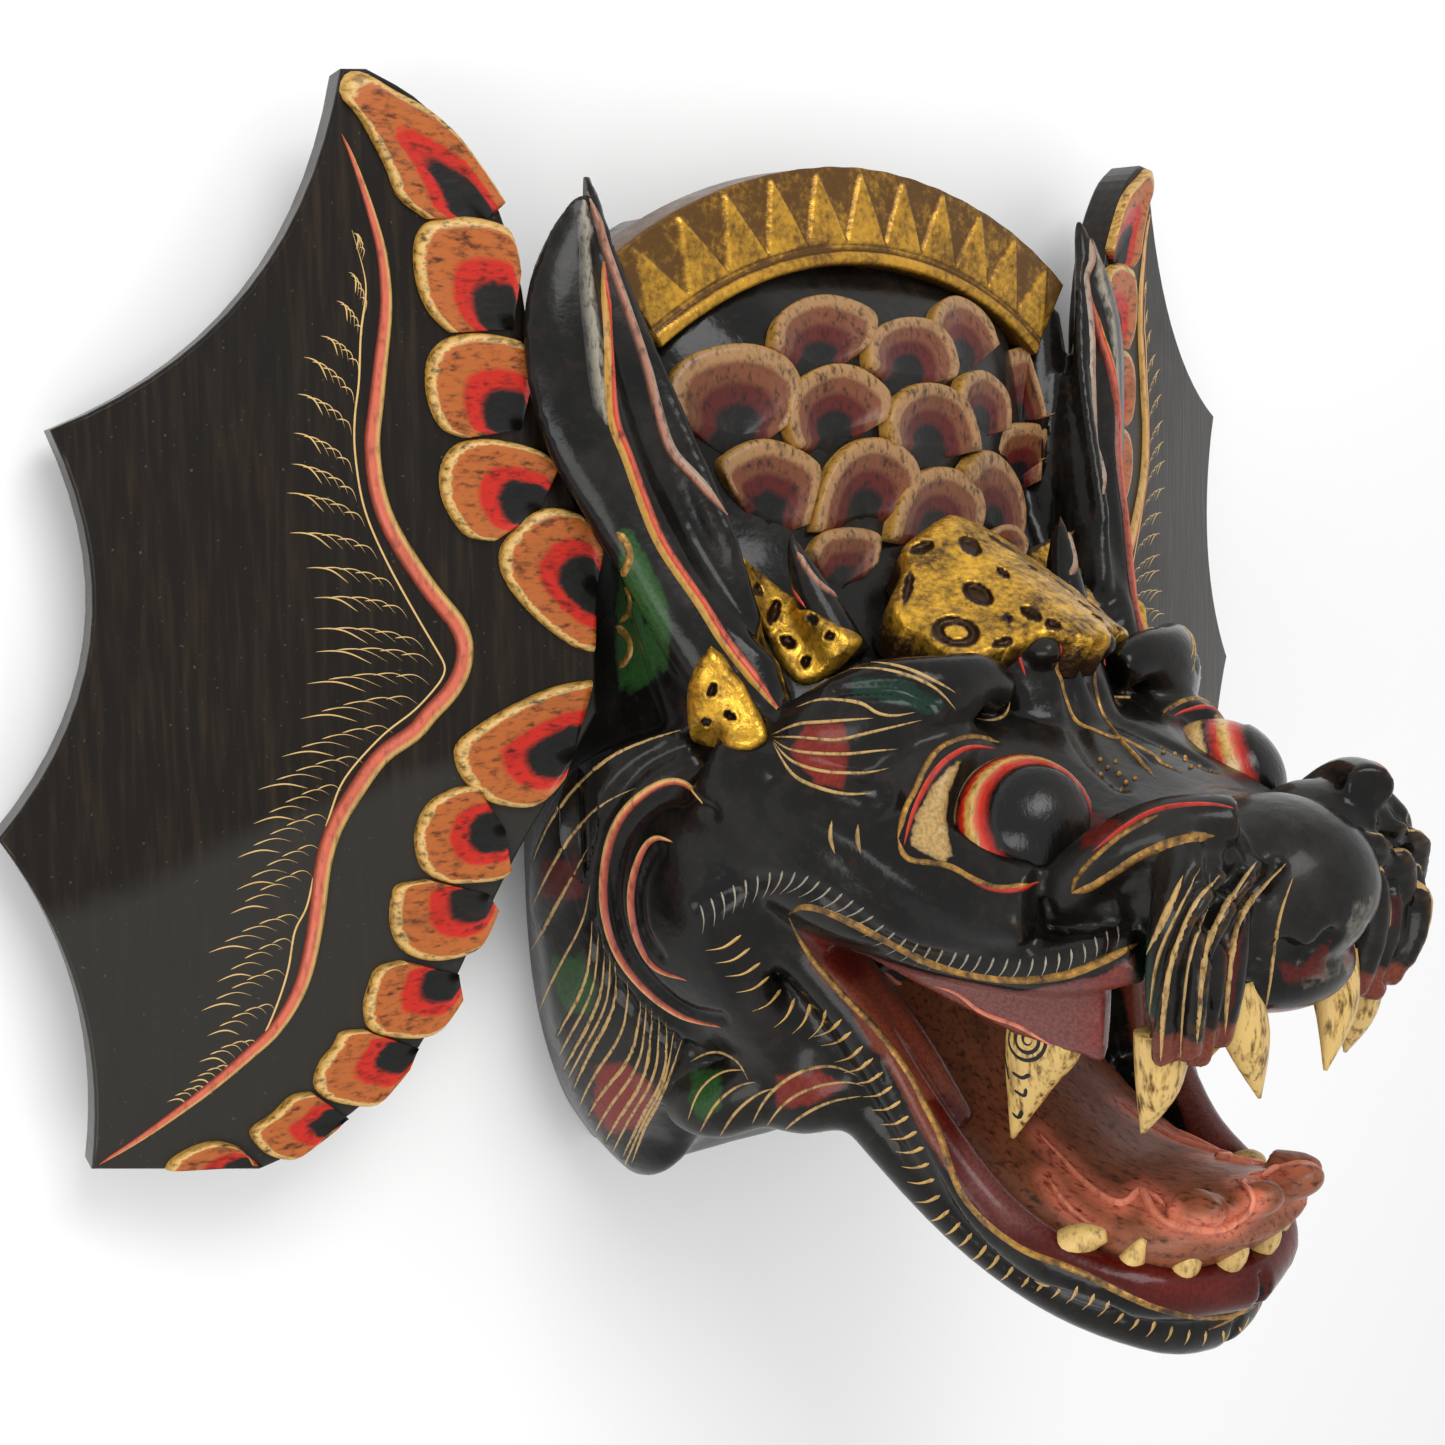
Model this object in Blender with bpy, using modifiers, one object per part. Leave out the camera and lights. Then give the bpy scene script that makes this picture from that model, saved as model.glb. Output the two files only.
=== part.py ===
"""Carved dragon mask with two wing boards, lying on its flat back.

Metres, +Z up. X runs across the face, +Y to the crown, +Z out of the face. The origin is
on the floor under the middle of the back.
"""
import math

import bmesh
import bpy
from mathutils import Matrix, Vector

# Driving dimensions of the head, in metres
HEAD_HEIGHT = 0.378
GRID = HEAD_HEIGHT / 378.0        # the carving is laid out on 378 steps from chin to crown
CROWN_RADIUS = 0.1965
CROWN_BAND = 0.033
CROWN_THICKNESS = 0.017
CROWN_FRONT = 0.067
CROWN_HALF_ANGLE = math.radians(35.0)
CROWN_TEETH = 11
CROWN_RELIEF = 0.0022
EYE_RADIUS = 0.0225
SCALE_RADIUS = 0.0175
SCALE_RELIEF = 0.004
SCALE_TILT = math.radians(13.0)
SCALE_LEAN = 0.32                 # degrees outwards for each grid step from the middle
HOLLOW_WALL = 0.034
HOLLOW_DEPTH = 0.066

# Driving dimensions of the wings, in metres
WING_THICKNESS = 0.014
WING_SWEEP = math.radians(16.0)
WING_LEAN = math.radians(-2.1)
WING_ROOT = 0.1245                # from the middle of the face to the wing's inner edge
WING_ROOT_HEIGHT = 0.0705         # of the wing's front face at its inner edge
WING_SCALE_RELIEF = 0.0035
WING_RIB_RADIUS = 0.0032
TONGUE_REACH = 0.034              # of the tongue that plugs into the head
TONGUE_ROOT = 0.022
TONGUE_LOW = 0.066
TONGUE_HIGH = 0.096
TONGUE_THICKNESS = 0.009
FIT_GAP = 0.0003

# Resolution of the carving
CARVE_VOXEL = 0.0028
CARVE_KEEP = 0.017                # share of the faces that the faceted head keeps
RING_SIDES = 16
HEAD_SOLVER = 'MANIFOLD'          # the carved head loses its body in an exact cut at some sizes
LIP_ACROSS = (1, 0, 0.3)          # direction of the width of the lower lip and of the roll under it


def grid(x, y, z):
    """A point of the head's layout grid, in metres."""
    return Vector((x, y, z)) * GRID


def catmull(values, count):
    """Reads count points evenly from a smooth curve through rows of numbers."""
    spans = len(values) - 1
    out = []
    for i in range(count):
        u = i * spans / (count - 1)
        k = min(int(u), spans - 1)
        t = u - k
        p0 = values[max(k - 1, 0)]
        p1, p2 = values[k], values[k + 1]
        p3 = values[min(k + 2, spans)]
        row = []
        for a, b, c, d in zip(p0, p1, p2, p3):
            row.append(b + 0.5 * t * (c - a + t * (2 * a - 5 * b + 4 * c - d
                                                   + t * (3 * (b - c) + d - a))))
        out.append(row)
    return out


def loft(bm, rings):
    """Skins closed rings of equal length in order, with a fan at each end."""
    layers = [[bm.verts.new(p) for p in ring] for ring in rings]
    sides = len(layers[0])
    faces = []
    for low, high in zip(layers, layers[1:]):
        for i in range(sides):
            j = (i + 1) % sides
            faces.append(bm.faces.new((low[i], low[j], high[j], high[i])))
    for layer in (layers[0], layers[-1]):
        middle = bm.verts.new(sum((v.co for v in layer), Vector()) / sides)
        for i in range(sides):
            faces.append(bm.faces.new((layer[i], layer[(i + 1) % sides], middle)))
    bmesh.ops.recalc_face_normals(bm, faces=faces)


def round_ring(centre, side, up, width, height, power, sides=RING_SIDES):
    """A rounded section; power 2 is an ellipse and larger powers are squarer."""
    ring = []
    for i in range(sides):
        angle = math.tau * i / sides
        c, s = math.cos(angle), math.sin(angle)
        a = math.copysign(abs(c) ** (2 / power), c) * width
        b = math.copysign(abs(s) ** (2 / power), s) * height
        ring.append(centre + side * a + up * b)
    return ring


def sweep(bm, stations, across, power=2.0, steps=4, mirror=False):
    """A rounded bar through stations (x, y, z, half width, half height) of the grid.

    across is the direction of the width, before it is squared to the path."""
    rows = catmull(stations, (len(stations) - 1) * steps + 1)
    points = [grid(*row[:3]) for row in rows]
    across = Vector(across)
    for flip in ((1, -1) if mirror else (1,)):
        rings = []
        for i, row in enumerate(rows):
            ahead = points[min(i + 1, len(points) - 1)] - points[max(i - 1, 0)]
            up = ahead.cross(across).normalized()
            side = up.cross(ahead).normalized()
            width = max(row[3], 0.4) * GRID
            height = max(row[4], 0.4) * GRID
            ring = round_ring(points[i], side, up, width, height, power)
            rings.append([Vector((p.x * flip, p.y, p.z)) for p in ring])
        loft(bm, rings)


def ball(bm, centre, radii, mirror=False, sides=20):
    """An ellipsoid at a point of the grid."""
    for flip in ((1, -1) if mirror else (1,)):
        place = Matrix.Translation(grid(centre[0] * flip, centre[1], centre[2]))
        shape = Matrix.Diagonal((radii[0] * GRID, radii[1] * GRID, radii[2] * GRID, 1.0))
        bmesh.ops.create_uvsphere(bm, u_segments=sides, v_segments=sides * 2 // 3, radius=1.0,
                                  matrix=place @ shape)


# Half width, depth and squareness of the head at heights from the top to the bottom
BODY_LEVELS = (
    (166, 62, 42, 2.6),
    (150, 92, 60, 2.6),
    (126, 101, 78, 2.4),
    (100, 105, 87, 2.2),
    (75, 107, 89, 2.2),
    (52, 108, 96, 2.3),
    (30, 109, 114, 2.4),
    (8, 111, 134, 2.4),
    (-15, 114, 140, 2.5),
    (-40, 117, 138, 2.6),
    (-62, 117, 130, 2.9),
    (-85, 116, 121, 3.0),
    (-108, 113, 108, 3.0),
    (-130, 107, 90, 2.8),
    (-152, 97, 62, 2.6),
    (-171, 82, 40, 2.6),
)
BODY_BACK = -8                    # the layout runs past the flat back, which is cut later
BODY_SIDE = 30                    # height at which the head is widest
BODY_TAPER = 0.84                 # width at the back as a share of the widest


def half_ring(y, width, depth, power, back, taper, sides=RING_SIDES):
    """One level of the head: rounded in front, drawn in a little towards the back."""
    ring = []
    for i in range(sides * 2 + 1):
        angle = math.pi * i / (sides * 2)
        c, s = math.cos(angle), math.sin(angle)
        x = math.copysign(abs(c) ** (2 / power), c) * width
        ring.append(grid(x, y, BODY_SIDE + abs(s) ** (2 / power) * (depth - BODY_SIDE)))
    ring.append(grid(-width * taper, y, back))
    ring.append(grid(width * taper, y, back))
    return ring


def carve_body(bm):
    """The block of the head: forehead, temples, cheeks and the back of the jaw."""
    rows = catmull(BODY_LEVELS, 40)
    loft(bm, [half_ring(*row, BODY_BACK, BODY_TAPER) for row in rows])


def carve_snout(bm):
    """Upper jaw, bridge, nose, nostrils and the moustache folds that hang over the lip."""
    upper_jaw = ((0, -22, 95, 98, 44), (0, -26, 125, 88, 38), (0, -29, 152, 78, 35),
                 (0, -37, 180, 66, 31), (0, -43, 208, 58, 27), (0, -45, 232, 48, 26),
                 (0, -48, 250, 34, 24))
    sweep(bm, upper_jaw, (1, 0, 0), power=2.7)
    bridge = ((0, 30, 140, 34, 14), (0, 10, 152, 26, 14), (0, -8, 164, 24, 12),
              (0, -24, 184, 26, 12), (0, -28, 214, 30, 12))
    sweep(bm, bridge, (1, 0, 0), power=2.4)
    ball(bm, (0, -40, 239), (33, 27, 32))
    ball(bm, (0, -64, 240), (31, 15, 23))
    ball(bm, (34, -36, 232), (22, 22, 22), mirror=True)
    nostril_wing = ((58, -40, 204, 8, 7), (56, -26, 220, 9, 8), (48, -16, 236, 9, 8),
                    (36, -14, 250, 8, 7))
    sweep(bm, nostril_wing, (0, 0, 1), mirror=True)
    for shift in (-11, 0, 11):
        fold = ((42 + shift * 0.5, -18, 240, 6, 7), (48 + shift, -34, 247, 7, 8),
                (50 + shift, -58, 248, 7, 8), (47 + shift * 0.9, -84 + abs(shift) * 0.3, 245, 5, 6))
        sweep(bm, fold, (1, 0, 0), mirror=True)
    cheek_bone = ((104, -14, 100, 18, 12), (91, -32, 136, 26, 12), (76, -42, 168, 22, 11),
                  (66, -44, 202, 13, 10))
    sweep(bm, cheek_bone, (0, 1, 0), mirror=True)
    upper_lip = ((88, -54, 118, 8, 8), (79, -58, 143, 9, 9), (69, -62, 176, 9, 9),
                 (62, -61, 208, 8, 9), (55, -54, 232, 7, 8))
    sweep(bm, upper_lip, (1, 0, 0), mirror=True)
    gum = ((78, -60, 136, 4, 6), (68, -68, 168, 4, 10), (60, -73, 196, 4, 14), (53, -74, 220, 4, 16))
    sweep(bm, gum, (1, 0, 0), mirror=True)


def carve_jaw(bm):
    """Lower jaw as an open scoop, with the raised lip round it and the tongue in it."""
    floor = ((0, -76, 84, 78, 16), (0, -110, 122, 64, 13), (0, -142, 152, 56, 12),
             (0, -164, 182, 50, 12), (0, -175, 206, 42, 12), (0, -178, 228, 24, 12))
    sweep(bm, floor, (1, 0, 0), power=2.6)
    lip = ((90, -60, 112, 9, 10), (76, -86, 134, 9, 9), (64, -119, 154, 8, 9),
           (56, -147, 178, 8, 9), (49, -160, 204, 8, 9), (32, -166, 226, 8, 9),
           (0, -169, 236, 9, 9))
    sweep(bm, lip, LIP_ACROSS, mirror=True)
    outer = ((84, -88, 106, 10, 11), (66, -122, 134, 10, 11), (52, -154, 168, 10, 11),
             (40, -170, 198, 10, 12), (20, -181, 220, 10, 11), (0, -184, 225, 10, 11))
    sweep(bm, outer, LIP_ACROSS, mirror=True)
    side = ((106, -30, 84, 24, 11), (102, -62, 88, 26, 11), (93, -86, 96, 22, 11),
            (84, -104, 106, 17, 10), (74, -118, 118, 10, 8))
    sweep(bm, side, (0, 0, 1), mirror=True)
    membrane = ((80, -62, 112, 10, 10), (68, -84, 128, 12, 12), (56, -108, 142, 10, 12),
                (46, -130, 156, 8, 8))
    sweep(bm, membrane, LIP_ACROSS, mirror=True)
    throat = ((0, -84, 84, 86, 22), (0, -92, 104, 80, 22), (0, -96, 122, 66, 18))
    sweep(bm, throat, (1, 0, 0), power=3.0)
    tongue = ((0, -98, 112, 44, 12), (0, -136, 150, 44, 14), (0, -154, 186, 44, 15),
              (0, -153, 220, 38, 14), (0, -142, 242, 24, 9))
    sweep(bm, tongue, (1, 0, 0), power=2.4)
    for x, y, z in ((11, -131, 254), (26, -135, 244)):
        sweep(bm, ((x * 0.9, -140, z - 14, 9, 6), (x, y - 3, z - 4, 7, 5), (x, y, z, 2, 2)),
              (1, 0, 0), mirror=True, steps=3)
    for x, z in ((41, 206), (26, 224), (9, 232)):
        sweep(bm, ((x, -168, z - 3, 6, 5), (x, -156, z, 5, 4), (x, -150, z + 2, 1, 1)),
              (1, 0, 0), mirror=True, steps=2)


def carve_brows(bm):
    """Leaf-shaped brow tufts that end in a curl, the eye sockets and small ear spikes."""
    brow = ((96, -2, 112, 3, 3), (88, 2, 132, 14, 10), (76, 6, 146, 19, 11),
            (60, 12, 156, 15, 10), (44, 17, 158, 9, 8), (31, 13, 156, 8, 8))
    sweep(bm, brow, (0, 1, 0), mirror=True)
    socket = ((58, -23, 138, 31, 31), (56, -24, 160, 29, 29), (54, -24, 170, 25, 25))
    sweep(bm, socket, (0, 1, 0), mirror=True)
    spike = ((58, 20, 116, 9, 9), (63, 38, 108, 7, 7), (67, 52, 103, 4, 4), (69, 61, 101, 1, 1))
    sweep(bm, spike, (1, 0, 0), mirror=True)
    for x, y in ((0, 22), (14, 24), (-14, 24)):
        ball(bm, (x, y, 158), (7, 6, 10), sides=12)


def carve_ears(bm):
    """Long leaf-shaped ears with a raised rim along each edge."""
    across = (41, 0, -12)
    leaf = ((92, -4, 112, 9, 10), (103, 30, 98, 15, 10), (114, 70, 82, 19, 9),
            (124, 100, 74, 22, 8), (129, 128, 70, 19, 7), (127, 152, 67, 11, 5),
            (121, 172, 64, 1, 1))
    sweep(bm, leaf, across, mirror=True)
    temple = ((96, 0, 96, 14, 18), (98, 40, 76, 14, 16), (102, 80, 66, 14, 12),
              (108, 118, 58, 13, 10), (112, 138, 56, 6, 6))
    sweep(bm, temple, across, mirror=True)
    outer_rim = ((95, 4, 124, 3, 3), (105, 42, 97, 3, 3), (113, 88, 80, 3, 3),
                 (121, 136, 74, 3, 3), (122, 168, 66, 1, 1))
    inner_rim = ((84, 22, 122, 3, 4), (93, 56, 102, 3, 4), (98, 76, 94, 3, 3),
                 (107, 114, 79, 3, 3), (119, 160, 67, 1, 1))
    sweep(bm, outer_rim, across, mirror=True)
    sweep(bm, inner_rim, across, mirror=True)
    ornament = ((90, 52, 102, 3, 3), (86, 36, 118, 8, 5), (80, 24, 138, 11, 5), (74, 24, 152, 4, 4))
    sweep(bm, ornament, (0, 1, 0), mirror=True)
    pendant = ((110, 30, 90, 2, 3), (109, 14, 92, 9, 5), (106, 2, 96, 11, 5), (103, -8, 100, 4, 3))
    sweep(bm, pendant, (0, 0, 1), mirror=True)


def carve_mane(bm):
    """Locks that sweep back and down behind the cheeks, and tufts under them."""
    locks = 6
    for i in range(locks):
        drop = 24.0 * i
        wide = 1.0 - 0.07 * i
        lock = ((102, -6 - drop * 0.9, 94 - i * 5, 8, 5),
                (114 * wide + 3, -22 - drop, 66 - i * 3, 14, 8),
                (117 * wide, -48 - drop * 0.92, 40, 14, 8),
                (106 * wide, -74 - drop * 0.8, 18, 11, 7))
        sweep(bm, lock, (0, 1, 0), mirror=True)
    for x, y, z in ((84, -122, 104), (70, -116, 132)):
        tuft = ((x - 12, y + 6, z + 10, 3, 3), (x, y, z, 12, 9), (x + 8, y - 8, z - 16, 12, 10),
                (x + 10, y - 12, z - 34, 6, 6))
        sweep(bm, tuft, (0, 1, 0.6), mirror=True)
    ball(bm, (102, -50, 78), (15, 42, 42), mirror=True)


def object_from(bm, name, material):
    """Makes an object of a bmesh in the mask's collection."""
    mesh = bpy.data.meshes.new(name)
    bm.to_mesh(mesh)
    bm.free()
    mesh.materials.append(material)
    obj = bpy.data.objects.new(name, mesh)
    PARTS.objects.link(obj)
    return obj


def cutter_from(bm, name):
    """Makes a hidden helper object of a bmesh."""
    mesh = bpy.data.meshes.new(name)
    bm.to_mesh(mesh)
    bm.free()
    obj = bpy.data.objects.new(name, mesh)
    obj.hide_render = True
    obj.display_type = 'WIRE'
    CUTTERS.objects.link(obj)
    return obj


def settle(obj):
    """Replaces an object's mesh by what its modifiers make of it."""
    bpy.context.view_layer.update()
    graph = bpy.context.evaluated_depsgraph_get()
    mesh = bpy.data.meshes.new_from_object(obj.evaluated_get(graph))
    obj.modifiers.clear()
    obj.data = mesh


def combine(obj, other, operation, solver='EXACT'):
    """Adds or takes away another object for good."""
    tool = obj.modifiers.new(operation.lower(), 'BOOLEAN')
    tool.operation = operation
    tool.solver = solver
    tool.object = other
    settle(obj)


def tidy(obj):
    """Welds slivers that the cuts leave and splits every face into triangles."""
    bm = bmesh.new()
    bm.from_mesh(obj.data)
    bmesh.ops.remove_doubles(bm, verts=bm.verts, dist=0.00001)
    bmesh.ops.dissolve_degenerate(bm, edges=bm.edges, dist=0.00001)
    bmesh.ops.triangulate(bm, faces=bm.faces)
    bm.to_mesh(obj.data)
    bm.free()


def box_between(bm, low, high):
    """A box from its lowest to its highest corner, in metres."""
    low, high = Vector(low), Vector(high)
    size = high - low
    place = Matrix.Translation((low + high) / 2)
    bmesh.ops.create_cube(bm, size=1.0, matrix=place @ Matrix.Diagonal((*size, 1.0)))


def crown_point(radius, angle, z):
    """A point of the crown's arch, whose middle angle is straight up."""
    centre_y = 183.0 * GRID - CROWN_RADIUS
    return Vector((radius * math.sin(angle), centre_y + radius * math.cos(angle), z))


def carve_crown(bm):
    """Arched crown band with a row of raised teeth and a rounded lower bead."""
    inner = CROWN_RADIUS - CROWN_BAND
    steps = CROWN_TEETH * 2
    back = CROWN_FRONT - CROWN_THICKNESS
    rings = []
    for i in range(steps + 1):
        angle = -CROWN_HALF_ANGLE + 2 * CROWN_HALF_ANGLE * i / steps
        rings.append([crown_point(inner, angle, back), crown_point(CROWN_RADIUS, angle, back),
                      crown_point(CROWN_RADIUS, angle, CROWN_FRONT - CROWN_RELIEF),
                      crown_point(inner, angle, CROWN_FRONT + CROWN_RELIEF)])
    loft(bm, rings)
    bead = CROWN_BAND * 0.13
    rings = []
    for i in range(steps + 1):
        angle = -CROWN_HALF_ANGLE + 2 * CROWN_HALF_ANGLE * i / steps
        centre = crown_point(inner + bead * 1.2, angle, CROWN_FRONT + CROWN_RELIEF * 0.6)
        out = (centre - crown_point(0.0, angle, centre.z)).normalized()
        rings.append(round_ring(centre, out, Vector((0, 0, 1)), bead, bead, 2.0, sides=8))
    loft(bm, rings)


def crown_teeth():
    """The raised teeth of the crown, each a three-sided plate pointing up."""
    bm = bmesh.new()
    inner = CROWN_RADIUS - CROWN_BAND
    pitch = 2 * CROWN_HALF_ANGLE / CROWN_TEETH
    root = inner + CROWN_BAND * 0.3
    tip = inner + CROWN_BAND * 0.92
    for i in range(CROWN_TEETH):
        angle = -CROWN_HALF_ANGLE + pitch * (i + 0.5)
        rings = []
        for z in (CROWN_FRONT - CROWN_THICKNESS / 2, CROWN_FRONT + CROWN_RELIEF * 1.3):
            rings.append([crown_point(root, angle - pitch * 0.44, z),
                          crown_point(root, angle + pitch * 0.44, z),
                          crown_point(tip, angle, z - CROWN_RELIEF * 0.4)])
        loft(bm, rings)
    return bm


def forehead_places():
    """Centres of the forehead scales, row by row from the top, in grid steps."""
    places = []
    for middle, columns in ((119, 1), (96, 2), (67, 2)):
        for i in range(-columns, columns + 1):
            x = 34.5 * i
            places.append((x, middle + 4.5 * abs(i), 98 - 0.0042 * x * x - max(0, middle - 96) * 0.42))
    places.append((42, 52, 99))
    places.append((-42, 52, 99))
    return places


def forehead_scales():
    """Round overlapping scales of the forehead, each tilted like a roof tile."""
    scales = cutter_from(bmesh.new(), 'scales')
    for i, (x, y, z) in enumerate(forehead_places()):
        bm = bmesh.new()
        lean = Matrix.Rotation(math.radians(x * SCALE_LEAN), 4, 'Y')
        tilt = Matrix.Rotation(SCALE_TILT, 4, 'X') @ lean
        place = Matrix.Translation(grid(x, y, z - 2)) @ tilt
        bmesh.ops.create_cone(bm, cap_ends=True, segments=14, radius1=SCALE_RADIUS * 1.02,
                              radius2=SCALE_RADIUS * 0.86, depth=SCALE_RELIEF * 3.2, matrix=place)
        combine(scales, cutter_from(bm, 'scale_' + str(i)), 'UNION')
    return scales


def eye_balls():
    """Bulging eyes that look forward and a little outward."""
    bm = bmesh.new()
    for side in (1, -1):
        place = Matrix.Translation(grid(51.0 * side, -25, 184))
        turn = Matrix.Rotation(math.radians(12) * side, 4, 'Y')
        bmesh.ops.create_uvsphere(bm, u_segments=18, v_segments=12, radius=EYE_RADIUS,
                                  matrix=place @ turn)
    return bm


def fangs():
    """Three pairs of fangs that hang from the upper jaw."""
    bm = bmesh.new()
    sweep(bm, ((27, -66, 244, 10, 8), (24, -82, 249, 8, 6), (18, -101, 250, 1, 1)),
          (1, 0, 0), mirror=True, steps=2)
    sweep(bm, ((53, -76, 240, 10, 8), (54, -92, 239, 7, 6), (55, -107, 235, 1, 1)),
          (1, 0, 0), mirror=True, steps=2)
    sweep(bm, ((54, -70, 202, 12, 5), (54, -84, 198, 14, 6), (53, -98, 192, 10, 5),
               (50, -124, 183, 1, 1)),
          (0, 0, 1), mirror=True, steps=2)
    return bm


def nose_ornament():
    """Leaf plate that lies over the root of the nose, with three points behind."""
    bm = bmesh.new()
    outline = ((0, 63, 106), (16, 54, 112), (34, 54, 112), (50, 40, 128), (46, 30, 142),
               (30, 26, 156), (14, 30, 166), (0, 27, 170))
    full = [(x, y, z) for x, y, z in outline] + [(-x, y, z) for x, y, z in outline[-2:0:-1]]
    rings = [[grid(x, y - 16, z - 12) for x, y, z in full], [grid(x, y, z) for x, y, z in full]]
    loft(bm, rings)
    return bm


def wing_plane():
    """Matrix of the right wing: its own x runs out along the sweep, its z to the front."""
    turn = Matrix.Rotation(WING_SWEEP, 4, 'Y') @ Matrix.Rotation(WING_LEAN, 4, 'X')
    return Matrix.Translation((WING_ROOT, 0.0, WING_ROOT_HEIGHT)) @ turn


# Corners and edge points of the wing board, in metres from its inner edge and from its level
WING_TIP_IN = (0.0676, 0.1993)
WING_TIP_OUT = (0.0753, 0.1988)
WING_POINT_HIGH = (0.1621, 0.0955)
WING_POINT_MID = (0.1826, -0.0184)
WING_POINT_LOW = (0.1625, -0.1181)
WING_BAYS = (0.0181, 0.0180, 0.0095)
WING_LOWER_EDGE = ((0.1138, -0.1266), (0.1014, -0.1225), (0.0790, -0.1102), (0.0607, -0.0938),
                   (0.0415, -0.0609), (0.0274, -0.0368), (0.0151, -0.0187), (0.0, 0.0050))
WING_UPPER_EDGE = ((0.0, 0.0600), (0.0182, 0.1035), (0.0205, 0.1338), (0.0278, 0.1604),
                   (0.0368, 0.1762), (0.0518, 0.1913), (0.0676, 0.1993))


def bay(start, end, depth, count=9):
    """Points of a hollow curve between two points of the wing's edge."""
    start, end = Vector(start), Vector(end)
    along = end - start
    inward = Vector((along.y, -along.x)).normalized()
    out = []
    for i in range(1, count):
        t = i / count
        out.append(start + along * t + inward * depth * 4 * t * (1 - t))
    return out


def wing_outline():
    """The wing board's outline, from the tip round the outer points to the inner edge."""
    points = [Vector(WING_TIP_IN), Vector(WING_TIP_OUT)]
    corners = (WING_TIP_OUT, WING_POINT_HIGH, WING_POINT_MID, WING_POINT_LOW)
    for start, end, depth in zip(corners, corners[1:], WING_BAYS):
        points.extend(bay(start, end, depth))
        points.append(Vector(end))
    points.extend(Vector(p) for p in catmull(WING_LOWER_EDGE, 15))
    points.extend(Vector(p) for p in catmull(WING_UPPER_EDGE, 13)[:-1])
    return points


def plate(name, outline, low, high):
    """A flat plate of an outline, between two heights over its plane."""
    curve = bpy.data.curves.new(name, 'CURVE')
    curve.dimensions = '2D'
    curve.fill_mode = 'BOTH'
    curve.extrude = (high - low) / 2
    spline = curve.splines.new('POLY')
    spline.points.add(len(outline) - 1)
    for point, at in zip(spline.points, outline):
        point.co = (at[0], at[1], 0.0, 1.0)
    spline.use_cyclic_u = True
    obj = bpy.data.objects.new(name, curve)
    CUTTERS.objects.link(obj)
    bpy.context.view_layer.update()
    graph = bpy.context.evaluated_depsgraph_get()
    mesh = bpy.data.meshes.new_from_object(obj.evaluated_get(graph))
    bpy.data.objects.remove(obj)
    mesh.transform(Matrix.Translation((0, 0, (low + high) / 2)))
    bm = bmesh.new()
    bm.from_mesh(mesh)
    bmesh.ops.remove_doubles(bm, verts=bm.verts, dist=0.00002)
    bmesh.ops.recalc_face_normals(bm, faces=bm.faces)
    bpy.data.meshes.remove(mesh)
    return bm


# Scales along the wing's inner and lower edge: place, half length, half height and turn
WING_SCALES = (
    (0.0620, 0.1770, 0.0225, 0.0120, -58),
    (0.0389, 0.1401, 0.0174, 0.0165, 0),
    (0.0367, 0.1073, 0.0168, 0.0152, 0),
    (0.0310, 0.0754, 0.0190, 0.0155, 0),
    (0.0170, 0.0471, 0.0180, 0.0220, 0),
    (0.0256, -0.0035, 0.0250, 0.0150, -32),
    (0.0514, -0.0289, 0.0173, 0.0145, 0),
    (0.0604, -0.0544, 0.0171, 0.0125, -8),
    (0.0714, -0.0787, 0.0160, 0.0120, -14),
    (0.0884, -0.0980, 0.0155, 0.0110, -28),
    (0.1082, -0.1128, 0.0150, 0.0095, -32),
    (0.1343, -0.1190, 0.0150, 0.0060, -12),
)
WING_RIB = ((0.0764, 0.1801), (0.0698, 0.1662), (0.0661, 0.1532), (0.0641, 0.1344),
            (0.0678, 0.1101), (0.0693, 0.0856), (0.0666, 0.0677), (0.0584, 0.0536),
            (0.0500, 0.0407), (0.0431, 0.0290), (0.0444, 0.0189), (0.0557, 0.0066),
            (0.0752, -0.0082), (0.0875, -0.0283), (0.0926, -0.0475), (0.0962, -0.0671),
            (0.1026, -0.0806), (0.1156, -0.0945), (0.1355, -0.1068), (0.1590, -0.1156))
RELIEF_INSET = 0.0006             # of the carving from the board's edge


def flat_scale(bm, x, y, half_length, half_height, turn, relief, sides=12):
    """One raised scale of a wing: an oval with its top tilted towards the outer edge."""
    rotate = Matrix.Rotation(math.radians(turn), 2)
    rings = []
    for height, share in ((-0.002, 1.0), (relief * 0.7, 1.0), (relief, 0.84)):
        ring = []
        for i in range(sides):
            angle = math.tau * i / sides
            p = rotate @ Vector((math.cos(angle) * half_length * share,
                                 math.sin(angle) * half_height * share))
            ring.append(Vector((x + p.x, y + p.y, height)))
        rings.append(ring)
    loft(bm, rings)


def rib(bm, path, radius, count=30, sides=6):
    """A half-round raised rib along a path on the wing's front."""
    points = [Vector((x, y, -radius * 0.15)) for x, y in catmull(path, count)]
    rings = []
    for i, point in enumerate(points):
        ahead = (points[min(i + 1, count - 1)] - points[max(i - 1, 0)]).normalized()
        side = Vector((ahead.y, -ahead.x, 0.0))
        thin = radius * min(1.0, 0.35 + 3.0 * min(i, count - 1 - i) / count)
        rings.append(round_ring(point, side, Vector((0, 0, 1)), thin, thin, 2.0, sides=sides))
    loft(bm, rings)


def inset(outline, margin):
    """An outline drawn in by a margin, point by point."""
    out = []
    count = len(outline)
    for i, point in enumerate(outline):
        ahead = (outline[(i + 1) % count] - point).normalized()
        behind = (point - outline[i - 1]).normalized()
        along = (ahead + behind).normalized()
        out.append(point + Vector((along.y, -along.x)) * margin)
    return out


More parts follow.
